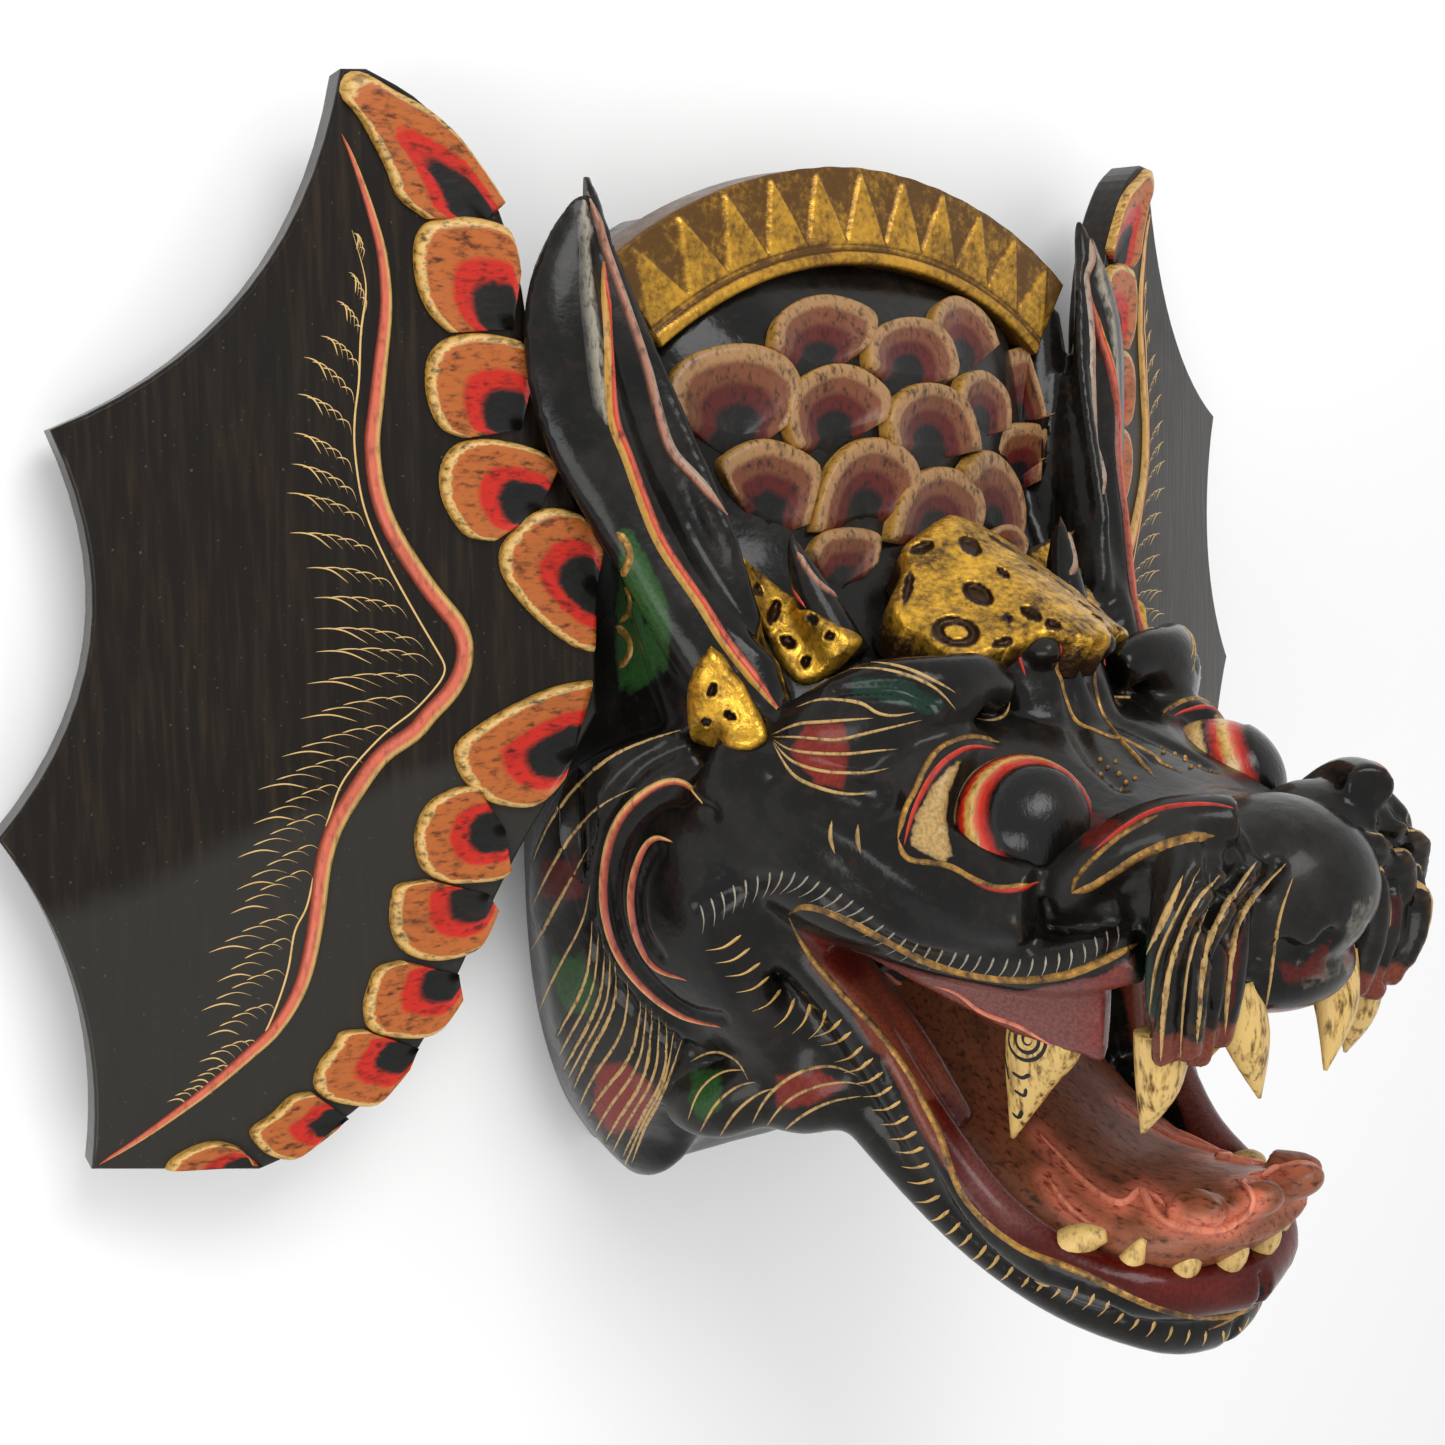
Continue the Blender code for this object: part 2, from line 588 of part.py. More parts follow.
def tongue_outline(margin):
    """The tongue's outline on the wing's inner edge, grown by a margin."""
    deep = -TONGUE_REACH - margin
    return [Vector((deep, TONGUE_LOW - margin)), Vector((TONGUE_ROOT, TONGUE_LOW - margin)),
            Vector((TONGUE_ROOT, TONGUE_HIGH + margin)), Vector((deep, TONGUE_HIGH + margin))]


def build_wing(name, side, material):
    """One wing: a board with hollow bays in its outer edge, raised scales, a rib and a tongue."""
    outline = wing_outline()
    middle = -WING_THICKNESS / 2
    board = cutter_from(plate('board', outline, -WING_THICKNESS, 0.0), name + '_board')
    tongue = plate('tongue', tongue_outline(0.0), middle - TONGUE_THICKNESS / 2,
                   middle + TONGUE_THICKNESS / 2)
    combine(board, cutter_from(tongue, name + '_tongue'), 'UNION')
    raised = bmesh.new()
    rib(raised, WING_RIB, WING_RIB_RADIUS)
    relief = cutter_from(raised, name + '_relief')
    for i, scale in enumerate(WING_SCALES):
        raised = bmesh.new()
        flat_scale(raised, *scale, WING_SCALE_RELIEF)
        combine(relief, cutter_from(raised, name + '_scale_' + str(i)), 'UNION')
    reach = plate('reach', inset(outline, RELIEF_INSET), middle, WING_THICKNESS)
    combine(relief, cutter_from(reach, name + '_reach'), 'INTERSECT')
    combine(board, relief, 'UNION')
    mesh = board.data.copy()
    mesh.transform(wing_plane())
    if side < 0:
        mesh.transform(Matrix.Diagonal((-1.0, 1.0, 1.0, 1.0)))
        mesh.flip_normals()
    bm = bmesh.new()
    bm.from_mesh(mesh)
    wing = object_from(bm, name, material)
    tidy(wing)
    return wing


def wing_seat(side):
    """The space that a wing needs: a slot for its tongue and room in front of its board."""
    middle = -WING_THICKNESS / 2
    slot = plate('slot', tongue_outline(FIT_GAP), middle - TONGUE_THICKNESS / 2 - FIT_GAP,
                 middle + TONGUE_THICKNESS / 2 + FIT_GAP)
    seat = cutter_from(slot, 'seat_' + str(side))
    around = bmesh.new()
    box_between(around, (-FIT_GAP, -0.25, -WING_THICKNESS - 0.0045),
                (0.25, 0.25, WING_SCALE_RELIEF + FIT_GAP))
    combine(seat, cutter_from(around, 'room_' + str(side)), 'UNION')
    mesh = seat.data
    mesh.transform(wing_plane())
    if side < 0:
        mesh.transform(Matrix.Diagonal((-1.0, 1.0, 1.0, 1.0)))
        mesh.flip_normals()
    return seat


def hollow_back():
    """The hollow behind the face, open at the flat back."""
    bm = bmesh.new()
    rows = catmull(BODY_LEVELS[2:-3], 24)
    rings = []
    for row in rows:
        width = row[1] - HOLLOW_WALL / GRID
        depth = min(row[2] * 0.62, HOLLOW_DEPTH / GRID)
        rings.append(half_ring(row[0], width, depth, 2.6, BODY_BACK * 2, 1.0, sides=8))
    loft(bm, rings)
    return cutter_from(bm, 'hollow')


def build_head(material):
    """The head, carved from one block, faceted and cut flat at the back."""
    bm = bmesh.new()
    for carve in (carve_body, carve_snout, carve_jaw, carve_brows, carve_ears, carve_mane,
                  carve_crown):
        carve(bm)
    head = object_from(bm, 'head', material)
    fuse = head.modifiers.new('fuse', 'REMESH')
    fuse.mode = 'VOXEL'
    fuse.voxel_size = CARVE_VOXEL
    soften = head.modifiers.new('soften', 'SMOOTH')
    soften.factor = 0.5
    soften.iterations = 2
    facet = head.modifiers.new('facet', 'DECIMATE')
    facet.ratio = CARVE_KEEP
    settle(head)
    for raised in (cutter_from(crown_teeth(), 'teeth'), forehead_scales(),
                   cutter_from(eye_balls(), 'eyes'), cutter_from(fangs(), 'fangs'),
                   cutter_from(nose_ornament(), 'ornament')):
        combine(head, raised, 'UNION', HEAD_SOLVER)
    for side in (1, -1):
        combine(head, wing_seat(side), 'DIFFERENCE', HEAD_SOLVER)
    combine(head, hollow_back(), 'DIFFERENCE', HEAD_SOLVER)
    below = bmesh.new()
    box_between(below, (-0.4, -0.4, -0.1), (0.4, 0.4, 0.0))
    combine(head, cutter_from(below, 'below'), 'DIFFERENCE', HEAD_SOLVER)
    tidy(head)
    return head


def paint(name, colour, roughness):
    """A lacquered wood finish."""
    material = bpy.data.materials.new(name)
    material.use_nodes = True
    shader = material.node_tree.nodes['Principled BSDF']
    shader.inputs['Base Color'].default_value = (*colour, 1.0)
    shader.inputs['Roughness'].default_value = roughness
    material.diffuse_color = (*colour, 1.0)
    return material


for old in list(bpy.data.objects):
    bpy.data.objects.remove(old)
PARTS = bpy.data.collections.new('dragon_mask')
CUTTERS = bpy.data.collections.new('cutters')
bpy.context.scene.collection.children.link(PARTS)
bpy.context.scene.collection.children.link(CUTTERS)

build_head(paint('head_lacquer', (0.03, 0.028, 0.024), 0.3))
build_wing('wing_right', 1, paint('wing_right_lacquer', (0.035, 0.026, 0.02), 0.35))
build_wing('wing_left', -1, paint('wing_left_lacquer', (0.035, 0.026, 0.02), 0.35))
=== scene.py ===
"""Dress of the carved dragon mask: carved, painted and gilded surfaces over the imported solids.

Metres, in the row's frame: X across the face, +Y to the crown, +Z out of the face. The mask is
one half and its mirror image, so most pieces are made on the -X side and mirrored.
"""

import logging
import math
from dataclasses import dataclass
from enum import Enum
from typing import Callable, Optional, Sequence

import bmesh
import bpy
import numpy as np
from mathutils import Matrix, Vector, geometry, kdtree
from mathutils.bvhtree import BVHTree

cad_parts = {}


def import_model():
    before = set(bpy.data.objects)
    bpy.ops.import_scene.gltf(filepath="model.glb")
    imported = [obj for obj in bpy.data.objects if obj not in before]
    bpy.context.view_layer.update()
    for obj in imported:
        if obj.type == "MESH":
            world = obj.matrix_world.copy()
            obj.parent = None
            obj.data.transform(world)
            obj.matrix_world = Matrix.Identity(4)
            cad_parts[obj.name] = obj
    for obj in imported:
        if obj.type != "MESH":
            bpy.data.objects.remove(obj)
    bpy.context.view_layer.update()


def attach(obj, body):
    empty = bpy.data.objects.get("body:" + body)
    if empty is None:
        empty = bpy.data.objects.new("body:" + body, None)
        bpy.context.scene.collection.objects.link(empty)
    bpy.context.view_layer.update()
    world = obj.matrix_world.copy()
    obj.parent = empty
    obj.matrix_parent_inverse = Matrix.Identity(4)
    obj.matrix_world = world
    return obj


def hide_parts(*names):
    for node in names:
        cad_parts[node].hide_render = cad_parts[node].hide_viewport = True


LOG = logging.getLogger("dragon_mask")
MM = 0.001
Pixel = tuple[float, float]
Row = Sequence[float]


class Side(Enum):
    """The two halves of the mask, by the sign of their x."""

    LEFT = -1
    RIGHT = 1


class Slot(Enum):
    """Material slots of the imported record."""

    HEAD = "head_lacquer"
    WING = "wing_lacquer"


def linear(red: float, green: float, blue: float) -> tuple[float, float, float, float]:
    """Turns a colour of 0 to 255 steps, as seen on a screen, into linear light.

    Args:
        red: Red step.
        green: Green step.
        blue: Blue step.

    Returns:
        The colour with full opacity.
    """
    out = []
    for step in (red, green, blue):
        c = step / 255.0
        out.append(c / 12.92 if c <= 0.04045 else ((c + 0.055) / 1.055) ** 2.4)
    return (out[0], out[1], out[2], 1.0)


class Paint(Enum):
    """The painter's palette."""

    BLACK = (15, 14, 13)
    WARM_BLACK = (22, 17, 12)
    GREY_BLACK = (50, 48, 44)
    CREAM = (208, 172, 108)
    OLD_GOLD = (176, 132, 56)
    BRIGHT_GOLD = (186, 136, 52)
    CROWN_GOLD = (204, 152, 42)
    OLIVE_BROWN = (92, 60, 14)
    WORN_CREAM = (156, 118, 78)
    LINE_CREAM = (176, 144, 92)
    MAUVE = (116, 70, 66)
    FADED_RED = (132, 40, 28)
    OX_BLOOD = (74, 17, 12)
    LIGHT_CORAL = (222, 134, 104)
    LEAF_GOLD = (226, 172, 52)
    GREY_TICK = (150, 142, 126)
    CORAL = (196, 110, 84)
    TAN = (170, 92, 40)
    PINK_BROWN = (164, 108, 86)
    RUSSET = (114, 66, 42)
    SALMON = (196, 96, 72)
    RED = (186, 34, 20)
    DARK_RED = (84, 24, 18)
    GREEN = (46, 84, 40)
    DEEP_GREEN = (20, 52, 38)
    MOUTH = (112, 54, 38)
    TONGUE = (136, 78, 52)
    BONE = (206, 172, 104)
    UMBER = (58, 38, 20)

    @property
    def linear(self) -> tuple[float, float, float, float]:
        """The paint in linear light."""
        return linear(*self.value)


def catmull(values: Sequence[Row], count: int) -> list[list[float]]:
    """Reads points evenly from a smooth curve through rows of numbers.

    Args:
        values: The rows that the curve passes through.
        count: Number of points to read.

    Returns:
        The points, with the first and last row at the ends.
    """
    spans = len(values) - 1
    out = []
    for i in range(count):
        u = i * spans / (count - 1)
        k = min(int(u), spans - 1)
        t = u - k
        p0 = values[max(k - 1, 0)]
        p1, p2 = values[k], values[k + 1]
        p3 = values[min(k + 2, spans)]
        out.append([b + 0.5 * t * (c - a + t * (2 * a - 5 * b + 4 * c - d + t * (3 * (b - c) + d - a)))
                    for a, b, c, d in zip(p0, p1, p2, p3)])
    return out


def smooth_step(low: float, high: float, value: np.ndarray) -> np.ndarray:
    """Eases values from 0 at low to 1 at high."""
    t = np.clip((value - low) / (high - low), 0.0, 1.0)
    return t * t * (3.0 - 2.0 * t)


@dataclass(frozen=True)
class PhotoView:
    """The photograph's camera, worked out from the mask's mirror symmetry."""

    place: tuple[float, float, float] = (-0.519, 0.105, 0.566)
    focal: float = 2006.9
    frame: float = 1445.0
    x_row: tuple[float, float, float] = (0.74154, -0.10805, 0.66215)
    y_row: tuple[float, float, float] = (0.0, -0.98695, -0.16106)
    z_row: tuple[float, float, float] = (0.67091, 0.11943, -0.73186)

    def ray(self, pixel: Pixel) -> Vector:
        """Direction of the ray through a picture point."""
        r = ((pixel[0] - self.frame / 2) / self.focal, (pixel[1] - self.frame / 2) / self.focal, 1.0)
        rows = (self.x_row, self.y_row, self.z_row)
        return Vector([sum(a * b for a, b in zip(row, r)) for row in rows]).normalized()

    def on_plane(self, pixel: Pixel, place: Vector, normal: Vector) -> Vector:
        """Where the ray through a picture point meets a plane."""
        eye, ray = Vector(self.place), self.ray(pixel)
        return eye + ray * ((place - eye).dot(normal) / ray.dot(normal))

    def pixels(self, points: np.ndarray) -> np.ndarray:
        """Picture points of an array of places, in rows.

        Args:
            points: Places in metres, one a row.

        Returns:
            Their picture points, one a row.
        """
        rows = np.array([self.x_row, self.y_row, self.z_row])
        seen = (points - np.array(self.place)) @ rows
        return self.frame / 2 + self.focal * seen[:, :2] / seen[:, 2:3]

    def build(self) -> bpy.types.Object:
        """Makes the camera and sets it as the scene's."""
        data = bpy.data.cameras.new("photo_view")
        data.sensor_width = 36.0
        data.lens = self.focal * 36.0 / self.frame
        camera = bpy.data.objects.new("photo_view", data)
        rows = (self.x_row, self.y_row, self.z_row)
        camera.matrix_world = Matrix([[r[0], -r[1], -r[2], self.place[i]] for i, r in enumerate(rows)]
                                     + [[0.0, 0.0, 0.0, 1.0]])
        bpy.context.scene.collection.objects.link(camera)
        bpy.context.scene.camera = camera
        return camera


VIEW = PhotoView()


@dataclass(frozen=True)
class Studio:
    """Pale floor and soft white light."""

    floor_size: float = 6.0
    floor_paint: tuple[int, int, int] = (246, 246, 246)
    sky_strength: float = 0.82
    key_energy: float = 11.0
    rim_energy: float = 6.0

    def soft_box(self, name: str, place: Row, aim: Row, size: tuple[float, float],
                 energy: float) -> None:
        """Adds one area light.

        Args:
            name: Name of the light.
            place: Where it hangs.
            aim: The point that it faces.
            size: Its two sides.
            energy: Its power in watts.
        """
        data = bpy.data.lights.new(name, "AREA")
        data.shape = "RECTANGLE"
        data.size, data.size_y = size
        data.energy = energy
        light = bpy.data.objects.new(name, data)
        light.location = place
        light.rotation_euler = (Vector(aim) - Vector(place)).to_track_quat("-Z", "Y").to_euler()
        bpy.context.scene.collection.objects.link(light)

    def build(self) -> None:
        """Makes the floor, the sky and the soft boxes."""
        bm = bmesh.new()
        bmesh.ops.create_grid(bm, x_segments=1, y_segments=1, size=self.floor_size / 2)
        floor = Maker.object_from(bm, "studio_floor")
        shade = Shade("studio_floor")
        shade.socket("Base Color", linear(*self.floor_paint))
        shade.socket("Roughness", 0.9)
        shade.socket("Specular IOR Level", 0.1)
        floor.data.materials.append(shade.material)
        floor.location.z = -0.0002
        world = bpy.data.worlds.new("studio")
        world.use_nodes = True
        world.node_tree.nodes["Background"].inputs[0].default_value = (1.0, 1.0, 1.0, 1.0)
        world.node_tree.nodes["Background"].inputs[1].default_value = self.sky_strength
        bpy.context.scene.world = world
        bpy.context.scene.view_settings.view_transform = "Standard"
        self.soft_box("key", (-0.35, 1.05, 1.25), (0.0, 0.0, 0.1), (0.9, 0.6), self.key_energy)
        self.soft_box("rim", (-1.3, -0.25, 0.8), (0.0, 0.0, 0.12), (0.5, 0.9), self.rim_energy)


class Shade:
    """A small builder for one node material."""

    def __init__(self, name: str) -> None:
        """Starts a material with its own shader.

        Args:
            name: Name of the material.
        """
        self.material = bpy.data.materials.new(name)
        self.material.use_nodes = True
        self.tree = self.material.node_tree
        self.shader = self.tree.nodes["Principled BSDF"]

    def socket(self, name: str, value: object) -> None:
        """Sets one of the shader's own sockets, or links a node's output to it."""
        if isinstance(value, bpy.types.NodeSocket):
            self.tree.links.new(value, self.shader.inputs[name])
        else:
            self.shader.inputs[name].default_value = value

    def node(self, kind: str, **values: object) -> bpy.types.Node:
        """Adds a node and sets its attributes."""
        node = self.tree.nodes.new(kind)
        for key, value in values.items():
            setattr(node, key, value)
        return node

    def feed(self, target: bpy.types.NodeSocket, value: object) -> None:
        """Links a socket to another one, or gives it a plain value."""
        if isinstance(value, bpy.types.NodeSocket):
            self.tree.links.new(value, target)
        elif isinstance(value, tuple) and len(value) == 3 and target.type == "RGBA":
            target.default_value = (*value, 1.0)
        else:
            target.default_value = value

    def place(self, scale: Row = (1.0, 1.0, 1.0)) -> bpy.types.NodeSocket:
        """The object's own coordinates, stretched."""
        where = self.node("ShaderNodeTexCoord").outputs["Object"]
        stretch = self.node("ShaderNodeMapping")
        stretch.inputs["Scale"].default_value = tuple(scale)
        self.feed(stretch.inputs["Vector"], where)
        return stretch.outputs["Vector"]

    def noise(self, scale: float, detail: float = 4.0, rough: float = 0.6,
              stretch: Row = (1.0, 1.0, 1.0)) -> bpy.types.NodeSocket:
        """Soft cloudy noise from 0 to 1.

        Args:
            scale: Number of clouds to a metre.
            detail: Number of finer layers.
            rough: Strength of the finer layers.
            stretch: Scale along each axis.

        Returns:
            The noise value.
        """
        node = self.node("ShaderNodeTexNoise")
        node.inputs["Scale"].default_value = scale
        node.inputs["Detail"].default_value = detail
        node.inputs["Roughness"].default_value = rough
        self.feed(node.inputs["Vector"], self.place(stretch))
        return node.outputs["Fac"]

    def attribute(self, name: str, output: str = "Fac") -> bpy.types.NodeSocket:
        """A value that the mesh carries."""
        return self.node("ShaderNodeAttribute", attribute_name=name).outputs[output]

    def ramp(self, value: object, stops: Sequence[tuple[float, object]]) -> bpy.types.NodeSocket:
        """A colour read along a ramp.

        Args:
            value: Where to read.
            stops: Places and colours, in order.

        Returns:
            The colour.
        """
        node = self.node("ShaderNodeValToRGB")
        items = node.color_ramp.elements
        while len(items) < len(stops):
            items.new(0.5)
        for item, (at, colour) in zip(items, stops):
            item.position = at
            item.color = colour.linear if isinstance(colour, Paint) else colour
        self.feed(node.inputs["Fac"], value)
        return node.outputs["Color"]

    def mix(self, share: object, first: object, second: object,
            blend: str = "MIX") -> bpy.types.NodeSocket:
        """Blends two colours.

        Args:
            share: Share of the second colour.
            first: The first colour.
            second: The second colour.
            blend: The way to blend.

        Returns:
            The blended colour.
        """
        node = self.node("ShaderNodeMix", data_type="RGBA", blend_type=blend)
        first = first.linear if isinstance(first, Paint) else first
        second = second.linear if isinstance(second, Paint) else second
        self.feed(node.inputs["Factor"], share)
        self.feed(node.inputs[6], first)
        self.feed(node.inputs[7], second)
        return node.outputs[2]

    def math(self, what: str, first: object, second: object = 0.5) -> bpy.types.NodeSocket:
        """One step of arithmetic."""
        node = self.node("ShaderNodeMath", operation=what)
        self.feed(node.inputs[0], first)
        self.feed(node.inputs[1], second)
        return node.outputs[0]

    def spread(self, value: object, low: float, high: float, to_low: float = 0.0,
               to_high: float = 1.0) -> bpy.types.NodeSocket:
        """Maps a range of values onto another one, smoothly and with its ends held."""
        node = self.node("ShaderNodeMapRange", interpolation_type="SMOOTHSTEP")
        for socket, number in zip(node.inputs[1:5], (low, high, to_low, to_high)):
            socket.default_value = number
        self.feed(node.inputs[0], value)
        return node.outputs[0]

    def bump(self, height: object, distance: float, strength: float) -> bpy.types.NodeSocket:
        """Turns a height into a bent normal."""
        node = self.node("ShaderNodeBump")
        node.inputs["Strength"].default_value = strength
        node.inputs["Distance"].default_value = distance
        self.feed(node.inputs["Height"], height)
        return node.outputs["Normal"]


@dataclass(frozen=True)
class Lacquer:
    """Glossy black paint with painted patches, dust and brush marks."""

    name: str = "black_lacquer"
    base: Paint = Paint.BLACK
    lift: Paint = Paint.GREY_BLACK
    grain: tuple[float, float, float] = (1.0, 1.0, 1.0)

    def material(self) -> bpy.types.Material:
        """Makes the material; the mesh's paint attribute lies over the black."""
        s = Shade(self.name)
        cloud = s.noise(26.0, 5.0, 0.65)
        brush = s.noise(240.0, 3.0, 0.55, self.grain)
        fine = s.noise(900.0, 2.0, 0.5)
        tone = s.mix(s.spread(cloud, 0.42, 0.75, 0.0, 0.42), self.base, self.lift)
        tone = s.mix(s.spread(brush, 0.5, 0.85, 0.0, 0.35), tone, Paint.UMBER)
        ridge = s.node("ShaderNodeNewGeometry").outputs["Pointiness"]
        worn = s.math("MULTIPLY", s.spread(ridge, 0.525, 0.6), s.spread(brush, 0.4, 0.7, 0.0, 0.6))
        tone = s.mix(worn, tone, Paint.OLIVE_BROWN)
        paint = s.attribute("paint", "Color")
        broken = s.math("ADD", s.attribute("paint", "Alpha"),
                        s.math("MULTIPLY", s.math("SUBTRACT", brush, 0.5), 0.9))
        cover = s.spread(broken, 0.3, 0.62)
        shaded = s.mix(s.spread(fine, 0.35, 0.7, 0.0, 0.35), paint, Paint.UMBER, "MULTIPLY")
        s.socket("Base Color", s.mix(cover, tone, shaded))
        s.socket("Roughness", s.spread(cloud, 0.3, 0.75, 0.16, 0.36))
        s.socket("Specular IOR Level", 0.16)
        s.socket("Coat Weight", 0.12)
        s.socket("Coat Roughness", 0.1)
        height = s.math("ADD", s.math("MULTIPLY", brush, 0.6), s.math("MULTIPLY", cloud, 1.6))
        s.socket("Normal", s.bump(height, 0.0006, 0.5))
        return s.material


@dataclass(frozen=True)
class Gilding:
    """Gold paint or leaf, dark in its hollows: patina, and on the crown painted shade as well."""

    name: str
    bright: Paint
    dark: Paint
    metallic: float
    rough: float
    patina: float

    def material(self) -> bpy.types.Material:
        """Makes the material; the mesh's hollow attribute, if any, deepens the patina and, on the crown, the
        painted shade.
        """
        s = Shade(self.name)
        cloud = s.noise(70.0, 6.0, 0.7)
        fine = s.noise(420.0, 3.0, 0.6)
        worn = s.math("ADD", s.math("MULTIPLY", cloud, 0.6), s.math("MULTIPLY", fine, 0.4))
        # the hollow attribute darkens the gold: patina, and painted shade on the crown
        worn = s.math("ADD", worn, s.math("MULTIPLY", s.attribute("hollow"), 0.35))
        amount = s.spread(worn, 0.62 - self.patina * 0.3, 0.95 - self.patina * 0.3)
        s.socket("Base Color", s.mix(amount, self.bright, self.dark))
        s.socket("Metallic", self.metallic)
        s.socket("Roughness", s.spread(cloud, 0.3, 0.8, self.rough, self.rough + 0.25))
        s.socket("Normal", s.bump(s.math("ADD", cloud, fine), 0.0005, 0.7))
        return s.material


@dataclass(frozen=True)
class BandPaint:
    """Paint in bands, read from a value that the mesh carries, brushed and rubbed."""

    name: str
    value: str
    stops: tuple[tuple[float, object], ...]
    rough: float = 0.36
    streaks: float = 0.5
    jitter: float = 0.06
    stain: float = 0.25
    grain: tuple[float, float, float] = (1.0, 0.4, 1.0)

    def material(self) -> bpy.types.Material:
        """Makes the material."""
        s = Shade(self.name)
        cloud = s.noise(60.0, 5.0, 0.65, self.grain)
        brush = s.noise(520.0, 4.0, 0.6, self.grain)
        value = s.math("ADD", s.attribute(self.value),
                       s.math("MULTIPLY", s.math("SUBTRACT", brush, 0.5), self.jitter * 2.0))
        colour = s.ramp(value, self.stops)
        colour = s.mix(s.spread(brush, 0.45, 0.75, 0.0, self.streaks), colour, Paint.UMBER, "MULTIPLY")
        colour = s.mix(s.spread(cloud, 0.52, 0.78, 0.0, self.stain), colour, Paint.UMBER)
        s.socket("Base Color", colour)
        s.socket("Roughness", s.spread(cloud, 0.3, 0.75, self.rough - 0.06, self.rough + 0.14))
        s.socket("Specular IOR Level", 0.25)
        s.socket("Coat Weight", 0.1)
        s.socket("Coat Roughness", 0.2)
        s.socket("Normal", s.bump(s.math("ADD", cloud, brush), 0.0005, 0.45))
        return s.material


class Maker:
    """Mesh helpers that every sub-assembly uses."""

    @staticmethod
    def object_from(bm: bmesh.types.BMesh, name: str) -> bpy.types.Object:
        """Makes an object of a bmesh and frees the bmesh."""
        mesh = bpy.data.meshes.new(name)
        bm.to_mesh(mesh)
        bm.free()
        for face in mesh.polygons:
            face.use_smooth = True
        obj = bpy.data.objects.new(name, mesh)
        bpy.context.scene.collection.objects.link(obj)
        return obj

    @staticmethod
    def settle(obj: bpy.types.Object) -> None:
        """Replaces an object's mesh by what its modifiers make of it."""
        graph = bpy.context.evaluated_depsgraph_get()
        graph.update()
        mesh = bpy.data.meshes.new_from_object(obj.evaluated_get(graph))
        obj.modifiers.clear()
        obj.data = mesh

    @staticmethod
    def fuse(obj: bpy.types.Object, voxel: float) -> None:
        """Melts overlapping bodies into one voxel mesh and takes off its steps."""
        melt = obj.modifiers.new("fuse", "REMESH")
        melt.mode = "VOXEL"
        melt.voxel_size = voxel
        soften = obj.modifiers.new("soften", "SMOOTH")
        soften.factor = 0.5
        soften.iterations = 3
        Maker.settle(obj)

    @staticmethod
    def skin(bm: bmesh.types.BMesh, rows: Sequence[Sequence[bmesh.types.BMVert]],
             closed: bool = False) -> list[bmesh.types.BMFace]:
        """Fills the strips between rows of equally many vertices.

        Args:
            bm: Mesh to add to.
            rows: The rows, in order.
            closed: Whether each row runs round to its start.

        Returns:
            The new faces.
        """
        faces = []
        for low, high in zip(rows, rows[1:]):
            for i in range(len(low) - (not closed)):
                j = (i + 1) % len(low)
                faces.append(bm.faces.new((low[i], low[j], high[j], high[i])))
        return faces

    @staticmethod
    def loft(bm: bmesh.types.BMesh, rings: Sequence[Sequence[Vector]]) -> None:
        """Skins closed rings of equal length in order, with a fan at each end."""
        layers = [[bm.verts.new(p) for p in ring] for ring in rings]
        faces = Maker.skin(bm, layers, True)
        for layer in (layers[0], layers[-1]):
            middle = bm.verts.new(sum((v.co for v in layer), Vector()) / len(layer))
            for a, b in zip(layer, (*layer[1:], layer[0])):
                faces.append(bm.faces.new((a, b, middle)))
        bmesh.ops.recalc_face_normals(bm, faces=faces)

    @staticmethod
    def ring(centre: Vector, side: Vector, up: Vector, width: float, height: float,
             power: float = 2.0, sides: int = 20) -> list[Vector]:
        """A rounded section; power 2 is an ellipse and larger powers are squarer."""
        out = []
        for i in range(sides):
            angle = math.tau * i / sides
            c, s = math.cos(angle), math.sin(angle)
            a = math.copysign(abs(c) ** (2 / power), c) * width
            b = math.copysign(abs(s) ** (2 / power), s) * height
            out.append(centre + side * a + up * b)
        return out

    @staticmethod
    def dress(obj: bpy.types.Object, finish: object, slot: Slot,
              replaces: Optional[str] = None) -> bpy.types.Object:
        """Gives a piece its finish and its body.

        Args:
            obj: The piece.
            finish: A finish, or a material that is made already.
            slot: The record's slot; not used.
            replaces: CAD node that the piece stands for.

        Returns:
            The piece.
        """
        material = finish if isinstance(finish, bpy.types.Material) else finish.material()
        obj.data.materials.clear()
        obj.data.materials.append(material)
        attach(obj, "root")
        if replaces:
            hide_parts(replaces)
        LOG.info("%s: %d faces", obj.name, len(obj.data.polygons))
        return obj

    @staticmethod
    def mirror(bm: bmesh.types.BMesh) -> None:
        """Adds the mirror image about x = 0, keeping the values that the mesh carries."""
        found = bmesh.ops.duplicate(bm, geom=bm.verts[:] + bm.edges[:] + bm.faces[:])
        verts = [g for g in found["geom"] if isinstance(g, bmesh.types.BMVert)]
        faces = [g for g in found["geom"] if isinstance(g, bmesh.types.BMFace)]
        for v in verts:
            v.co.x = -v.co.x
        bmesh.ops.reverse_faces(bm, faces=faces)


